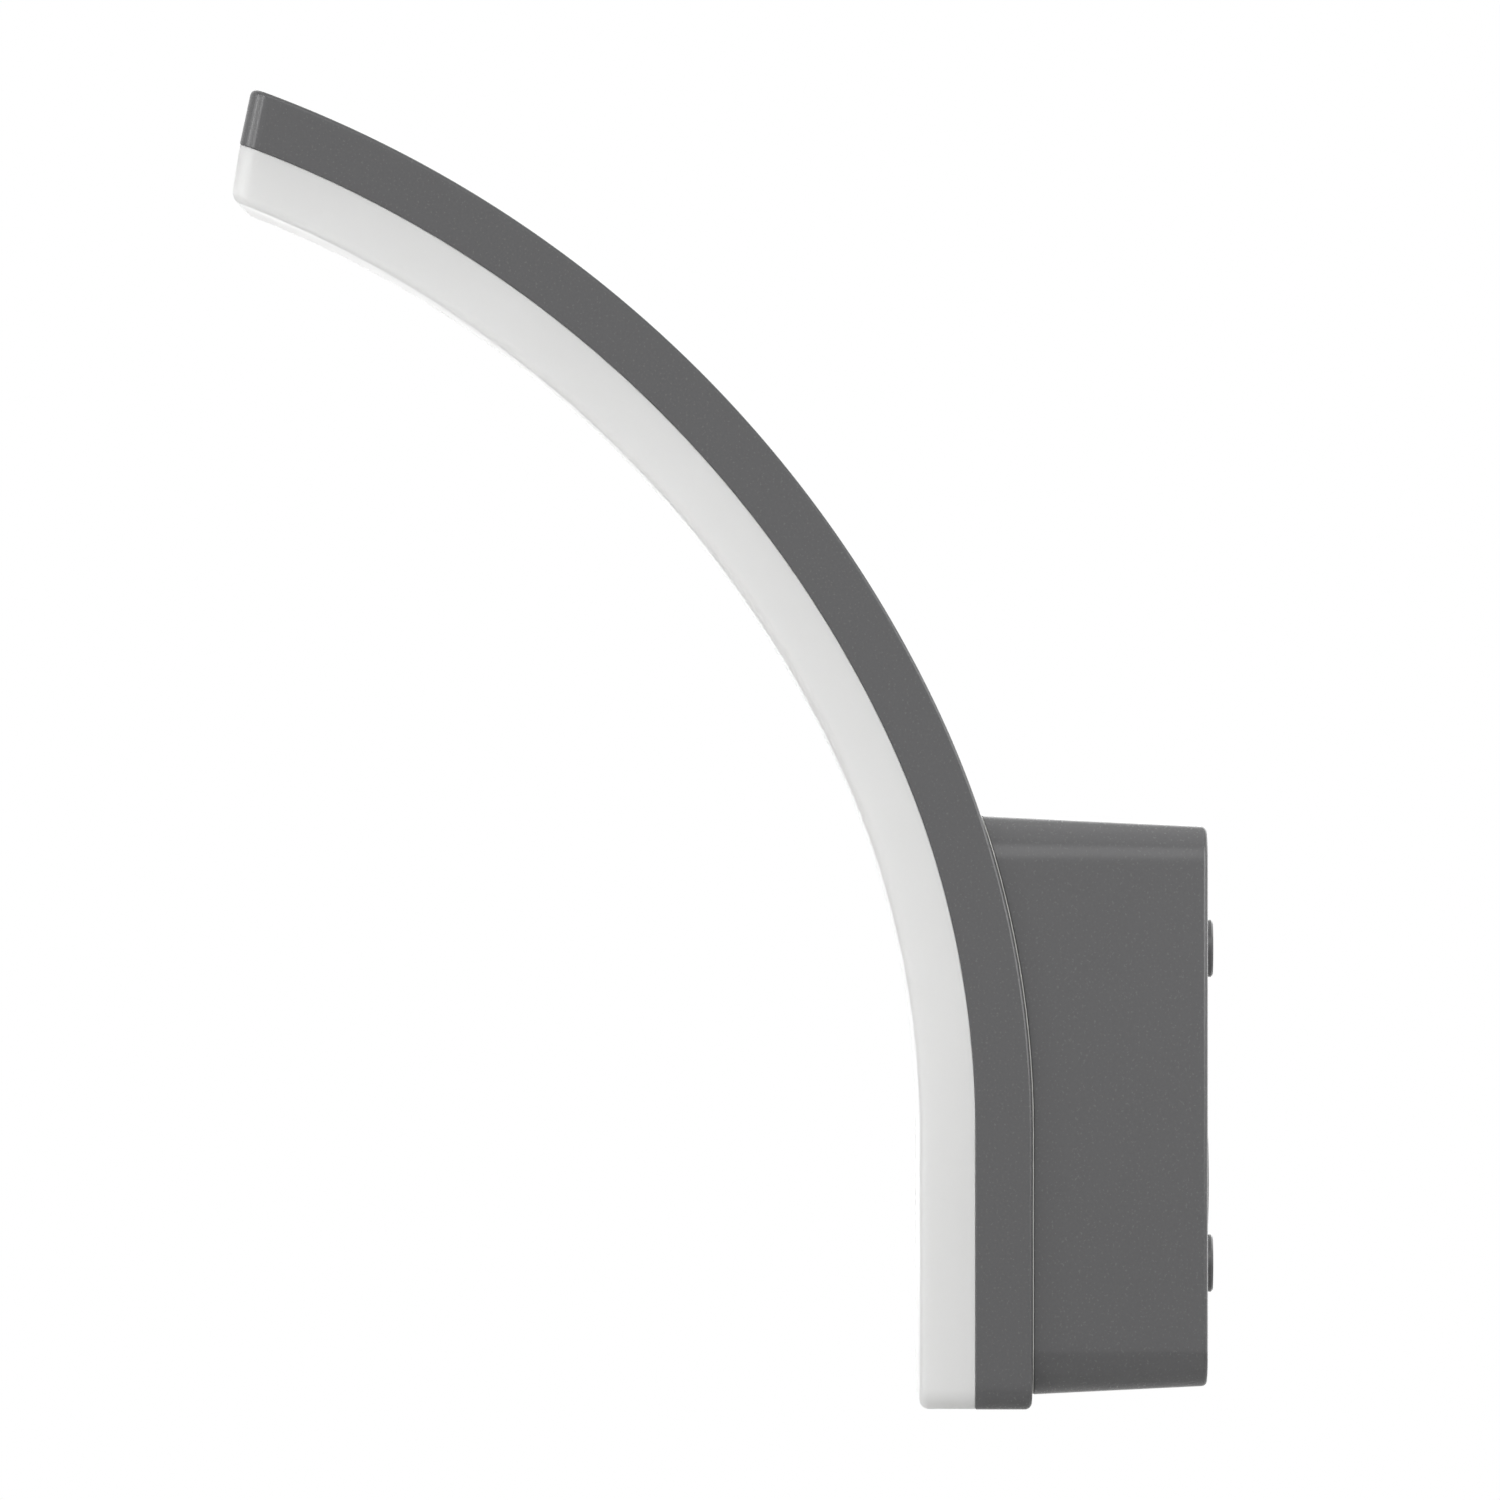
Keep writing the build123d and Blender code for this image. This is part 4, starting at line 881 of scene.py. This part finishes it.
def box_shell():
    """The cup: rear face and edge, drafted side, rim, gasket rebate, inner side and rear."""
    corner, wall, land = size("box_corner"), size("box_wall"), size("rim_land")
    rear, inside, edge = size("box_rear"), size("box_inside"), size("box_edge")
    rim, rebate, lip = size("rim_offset"), size("rebate_offset"), size("lip_edge")
    inner, bevel = BOX_INNER_RADIUS, BOX_INNER_BEVEL
    width, half = size("box_width"), size("box_height") / 2
    steps = {"across": 20, "along": 28, "corner_steps": 12}
    core, normal, xs, zs = rounded_loop(width / 2, -half, half, corner, **steps)
    beyond = 3 * corner
    turn = np.radians(np.linspace(0, 90, 7))
    arc = list(zip(np.sin(turn), np.cos(turn)))
    # Each row: inset, Y near the rear, offset near the rim, and which of the two it follows.
    rows = [(inset, rear, 0, 0) for inset in (beyond, *BOX_REAR_RINGS)]
    rows += [(edge * (1 - s), rear - edge * (1 - c), 0, 0) for s, c in arc]
    rows += [(0, rear - edge, rim + lip, share) for share in BOX_SIDE_SHARES]
    rows += [(lip * (1 - c), 0, rim + lip * (1 - s), 1) for s, c in arc[::2]]
    rows += [(land, 0, rim, 1), (land, 0, rebate, 1), (wall, 0, rebate, 1)]
    rows += [(wall, inside - inner, rebate, share) for share in BOX_INSIDE_SHARES]
    rows += [(wall + bevel, inside - bevel, 0, 0), (wall + inner, inside, 0, 0)]
    rows += [(beyond, inside, 0, 0)]
    rows = np.array(rows, dtype=float)[:, :, None]
    ring = box_ring(core, normal, rows[:, 0], (rows[:, 1], rows[:, 2]), rows[:, 3])
    x, z = np.meshgrid(xs, zs, indexing="ij")
    caps = [np.stack([x, np.full_like(x, y), z], axis=-1) for y in (rear, inside)]
    return tray(ring, *caps)


def box_additions():
    """Four fixing bosses behind and two locking pads inside."""
    boss = (FIXING_BOSS_RADIUS, *FIXING_BOSS_Y)
    parts = [rod(*boss, along_y(x, z), FIXING_BOSS_CHAMFER) for x, z in FIXING_SPOTS]
    half, (front, back) = LOCK_PAD_HALF_WIDTH, LOCK_PAD_Y
    section = [(-half, front), (half, front), (half, back), (-half, back)]
    for side in (-1, 1):
        parts.append(bar(section, side * np.array(LOCK_PAD_Z), straight_z))
    return parts


def box_cuts():
    """Four fixing holes, the cable hole, and the stepped holes of the two locking screws."""
    cuts = [rod(FIXING_HOLE_RADIUS, *REAR_HOLE_Y, along_y(x, z)) for x, z in FIXING_SPOTS]
    entry_x, _, entry_z = middle("cable_grommet")
    cuts.append(rod(CABLE_HOLE_RADIUS, *REAR_HOLE_Y, along_y(entry_x, entry_z), sides=64))
    inner, outer = LOCK_HOLE_Z
    axis = along_z(0.0, LOCK_Y)
    for side in (-1, 1):
        cuts.append(rod(LOCK_HEAD_RADIUS, side * LOCK_HEAD_SEAT, side * outer, axis))
        cuts.append(rod(LOCK_HOLE_RADIUS, side * inner, side * outer, axis))
    return cuts


# ---- operators ----
class WALL_LIGHT_OT_channel(bpy.types.Operator):
    """The bent channel, with its spigot, ribs and bosses."""

    bl_idname = "wall_light.channel"
    bl_label = "Channel"

    def execute(self, context):
        place = on_arm(lambda offset: size("channel_lean"))
        half = size("arm_width") / 2
        points, faces, _ = bent_tray(half, 0.0, size("end_corner"), channel_rows, place)
        piece = mesh_piece("channel_shell", points, faces)
        wire_x, _, wire_z = middle("wire_grommet")
        carve(piece, [], [rod(WIRE_HOLE_RADIUS, *WIRE_HOLE_Y, along_y(wire_x, wire_z))])
        attach(piece, spigot(), *ribs_and_bosses())
        crisp(piece)
        piece.data.materials.append(housing_paint())
        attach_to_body(piece, "arm")
        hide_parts("arm_channel")
        return {"FINISHED"}


class WALL_LIGHT_OT_diffuser(bpy.types.Operator):
    """The opal diffuser, whose skirt stands in the channel."""

    bl_idname = "wall_light.diffuser"
    bl_label = "Diffuser"

    def execute(self, context):
        inset = size("diffuser_inset")
        body, skirt = size("diffuser_lean"), size("channel_lean")
        place = on_arm(lambda offset: np.where(offset < 0, body, skirt))
        half, corner = size("arm_width") / 2 - inset, size("end_corner") - inset
        points, faces, depth = bent_tray(half, inset, corner, diffuser_rows, place)
        # The depth from the seam towards the lit face sets the diffuser's painted shade, darker
        # near the channel.
        tone = np.clip(-depth / size("diffuser_depth"), 0, 1)
        piece = mesh_piece("diffuser_shell", points, faces, tone)
        crisp(piece)
        piece.data.materials.append(opal_acrylic(colours().opal))
        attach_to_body(piece, "arm")
        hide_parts("diffuser")
        return {"FINISHED"}


class WALL_LIGHT_OT_wall_box(bpy.types.Operator):
    """The wall box, with its bosses, pads and holes."""

    bl_idname = "wall_light.wall_box"
    bl_label = "Wall box"

    def execute(self, context):
        piece = mesh_piece("box_shell", *box_shell())
        carve(piece, box_additions(), box_cuts())
        crisp(piece)
        piece.data.materials.append(housing_paint())
        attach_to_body(piece, "wall_base")
        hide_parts("wall_box")
        return {"FINISHED"}


class WALL_LIGHT_OT_seals(bpy.types.Operator):
    """Silicone gasket and seal, and rubber grommets."""

    bl_idname = "wall_light.seals"
    bl_label = "Seals"

    def execute(self, context):
        rubber = moulded_rubber("moulded_epdm_rubber", colours().rubber, 0.62, 1.52)
        give(rubber, "cable_grommet", "wire_grommet")
        silicone = moulded_rubber("silicone_rubber", colours().silicone, 0.45, 1.41)
        give(silicone, "box_gasket", "diffuser_seal")
        return {"FINISHED"}


class WALL_LIGHT_OT_fasteners(bpy.types.Operator):
    """Zinc-plated screws and nuts."""

    bl_idname = "wall_light.fasteners"
    bl_label = "Fasteners"

    def execute(self, context):
        give(
            zinc_plate(colours().steel),
            "locking_screws",
            "locking_nuts",
            "led_board_screws",
            "tray_screws",
            "driver_screws",
            "terminal_screws",
            "terminal_fixing_screws",
            "earth_screw",
        )
        return {"FINISHED"}


class WALL_LIGHT_OT_light_engine(bpy.types.Operator):
    """Aluminium carrier, LED board, LED packages and connector."""

    bl_idname = "wall_light.light_engine"
    bl_label = "Light engine"

    def execute(self, context):
        give(rolled_aluminium(colours().aluminium), "led_carrier")
        give(solder_mask("white_solder_mask", colours().white_board), "led_board")
        give(phosphor_package(colours().phosphor), "led_chips")
        give(moulded_plastic("nylon_connector", colours().connector, 0.4, 1.53), "board_connector")
        return {"FINISHED"}


class WALL_LIGHT_OT_driver(bpy.types.Operator):
    """Sheet tray, driver case and the parts in it."""

    bl_idname = "wall_light.driver"
    bl_label = "Driver"

    def execute(self, context):
        give(galvanised_sheet(colours().sheet), "driver_tray")
        case = moulded_plastic("polycarbonate_case", colours().driver, 0.42, 1.58)
        give(case, "driver_lid", "driver_case")
        give(solder_mask("green_solder_mask", colours().green_board), "driver_board")
        give(pressed_ferrite(colours().ferrite), "driver_transformer", "driver_choke")
        sleeve = moulded_plastic("shrink_sleeve", colours().sleeve, 0.28, 1.54)
        give(sleeve, "driver_capacitors")
        return {"FINISHED"}


class WALL_LIGHT_OT_terminals(bpy.types.Operator):
    """Terminal block, brass clamps and earth tag."""

    bl_idname = "wall_light.terminals"
    bl_label = "Terminals"

    def execute(self, context):
        block = moulded_plastic("polyamide_block", colours().terminal, 0.45, 1.53)
        give(block, "terminal_block")
        give(turned_brass(colours().brass), "terminal_clamps", "earth_tag")
        return {"FINISHED"}


class WALL_LIGHT_OT_leads(bpy.types.Operator):
    """Insulated leads inside the wall box."""

    bl_idname = "wall_light.leads"
    bl_label = "Leads"

    def execute(self, context):
        tone = colours()
        stripe_x = middle("earth_lead")[0] * MM
        give(wire_insulation("pvc_green_yellow", tone.green, tone.yellow, stripe_x), "earth_lead")
        give(wire_insulation("pvc_brown", tone.brown), "live_lead")
        give(wire_insulation("pvc_blue", tone.blue), "neutral_lead")
        give(wire_insulation("pvc_red", tone.red), "led_lead_plus")
        give(wire_insulation("pvc_black", tone.black), "led_lead_minus")
        return {"FINISHED"}


# Softboxes in metres and watts: name, place, width and height, and power.
SOFTBOXES = (
    ("front_strip", (0.30, -0.95, 0.15), (0.08, 0.8), 1.3),
    ("front_softbox", (0.33, -0.88, 0.25), (0.55, 0.6), 1.4),
    ("corner_strip", (0.60, -0.65, 0.30), (0.12, 0.6), 1.1),
    ("camera_softbox", (1.4, -0.2, 0.9), (0.9, 0.9), 4.0),
    ("rear_softbox", (0.25, 0.25, 0.15), (0.2, 0.3), 0.8),
    ("far_side_softbox", (-1.2, 0.1, 0.2), (1.0, 1.0), 5.0),
    ("back_softbox", (-0.8, 1.2, 0.3), (1.0, 1.0), 5.0),
    ("overhead_softbox", (0.0, 0.0, 2.2), (2.4, 2.4), 8.5),
)
LIGHT_TARGET = (0.0, -0.10, 0.07)
WORLD_FILL = 0.14
SENSOR_WIDTH = 36.0
FLOOR_STEPS = 17


def soft_light(name, place, spread, power):
    """A rectangular softbox that points at the lamp."""
    data = bpy.data.lights.new(name, "AREA")
    data.shape = "RECTANGLE"
    data.size, data.size_y = spread
    data.energy = power
    light = bpy.data.objects.new(name, data)
    light.location = place
    light.visible_camera = False
    towards = Vector(LIGHT_TARGET) - Vector(place)
    light.rotation_euler = towards.to_track_quat("-Z", "Y").to_euler()
    bpy.context.scene.collection.objects.link(light)


def studio_world():
    """White behind the lamp, in its gloss and through it, and a grey fill for the rest."""
    world = bpy.data.worlds.new("studio")
    world.use_nodes = True
    tree = world.node_tree
    tree.nodes.clear()
    path = add_node(tree, "ShaderNodeLightPath").outputs
    inputs = {0: path["Is Camera Ray"], 1: path["Is Glossy Ray"]}
    seen = add_node(tree, "ShaderNodeMath", inputs, operation="MAXIMUM").outputs[0]
    inputs = {0: seen, 1: path["Is Transmission Ray"]}
    seen = add_node(tree, "ShaderNodeMath", inputs, operation="MAXIMUM").outputs[0]
    inputs = {"Value": seen, "To Min": WORLD_FILL, "To Max": 1.0}
    level = add_node(tree, "ShaderNodeMapRange", inputs).outputs["Result"]
    inputs = {"Color": (1.0, 1.0, 1.0, 1.0), "Strength": level}
    backdrop = add_node(tree, "ShaderNodeBackground", inputs)
    add_node(tree, "ShaderNodeOutputWorld", {"Surface": backdrop.outputs[0]})
    bpy.context.scene.world = world


class WALL_LIGHT_OT_stage(bpy.types.Operator):
    """Camera, pale floor and soft studio light."""

    bl_idname = "wall_light.stage"
    bl_label = "Stage"

    def execute(self, context):
        settings = context.scene.wall_light_studio
        data = bpy.data.cameras.new("camera")
        data.sensor_width = SENSOR_WIDTH
        data.lens = data.sensor_width * settings.view_distance / settings.view_width
        camera = bpy.data.objects.new("camera", data)
        near_side = cad_bounds[1][0]
        camera.location = near_side + settings.view_distance, settings.view_y, settings.view_z
        camera.rotation_euler = (math.pi / 2, 0, math.pi / 2)
        context.scene.collection.objects.link(camera)
        context.scene.camera = camera

        reach = settings.floor_radius / MM
        steps = np.linspace(-reach, reach, FLOOR_STEPS)
        x, y = np.meshgrid(steps, steps, indexing="ij")
        sheet = np.stack([x, y, np.full_like(x, -settings.floor_drop / MM)], axis=-1)
        faces = grid_faces(len(steps), len(steps))[:, ::-1]
        floor = mesh_piece("floor", sheet.reshape(-1, 3), faces)
        floor.data.materials.append(studio_paper(colours().floor))

        for box in SOFTBOXES:
            soft_light(*box)
        studio_world()
        context.scene.view_settings.view_transform = "Standard"
        return {"FINISHED"}


PIECES = (
    WALL_LIGHT_OT_channel,
    WALL_LIGHT_OT_diffuser,
    WALL_LIGHT_OT_wall_box,
    WALL_LIGHT_OT_seals,
    WALL_LIGHT_OT_fasteners,
    WALL_LIGHT_OT_light_engine,
    WALL_LIGHT_OT_driver,
    WALL_LIGHT_OT_terminals,
    WALL_LIGHT_OT_leads,
    WALL_LIGHT_OT_stage,
)


class WALL_LIGHT_PT_pieces(bpy.types.Panel):
    """Lists the pieces, sizes, colours and studio of the wall light."""

    bl_idname = "WALL_LIGHT_PT_pieces"
    bl_label = "Wall light"
    bl_space_type = "VIEW_3D"
    bl_region_type = "UI"
    bl_category = "Wall light"

    def draw(self, context):
        scene = context.scene
        for piece in PIECES:
            self.layout.operator(piece.bl_idname)
        for group in (scene.wall_light_sizes, scene.wall_light_colours, scene.wall_light_studio):
            for name in type(group).__annotations__:
                self.layout.prop(group, name)


GROUPS = {
    "wall_light_sizes": WallLightSizes,
    "wall_light_colours": WallLightColours,
    "wall_light_studio": WallLightStudio,
}


def register():
    for item in (*GROUPS.values(), *PIECES, WALL_LIGHT_PT_pieces):
        bpy.utils.register_class(item)
    for name, group in GROUPS.items():
        setattr(bpy.types.Scene, name, bpy.props.PointerProperty(type=group))


def unregister():
    for name in GROUPS:
        delattr(bpy.types.Scene, name)
    for item in reversed((*GROUPS.values(), *PIECES, WALL_LIGHT_PT_pieces)):
        bpy.utils.unregister_class(item)


def main():
    register()
    bpy.ops.wall_light.channel()
    bpy.ops.wall_light.diffuser()
    bpy.ops.wall_light.wall_box()
    bpy.ops.wall_light.seals()
    bpy.ops.wall_light.fasteners()
    bpy.ops.wall_light.light_engine()
    bpy.ops.wall_light.driver()
    bpy.ops.wall_light.terminals()
    bpy.ops.wall_light.leads()
    bpy.ops.wall_light.stage()


if __name__ == "__main__":
    main()
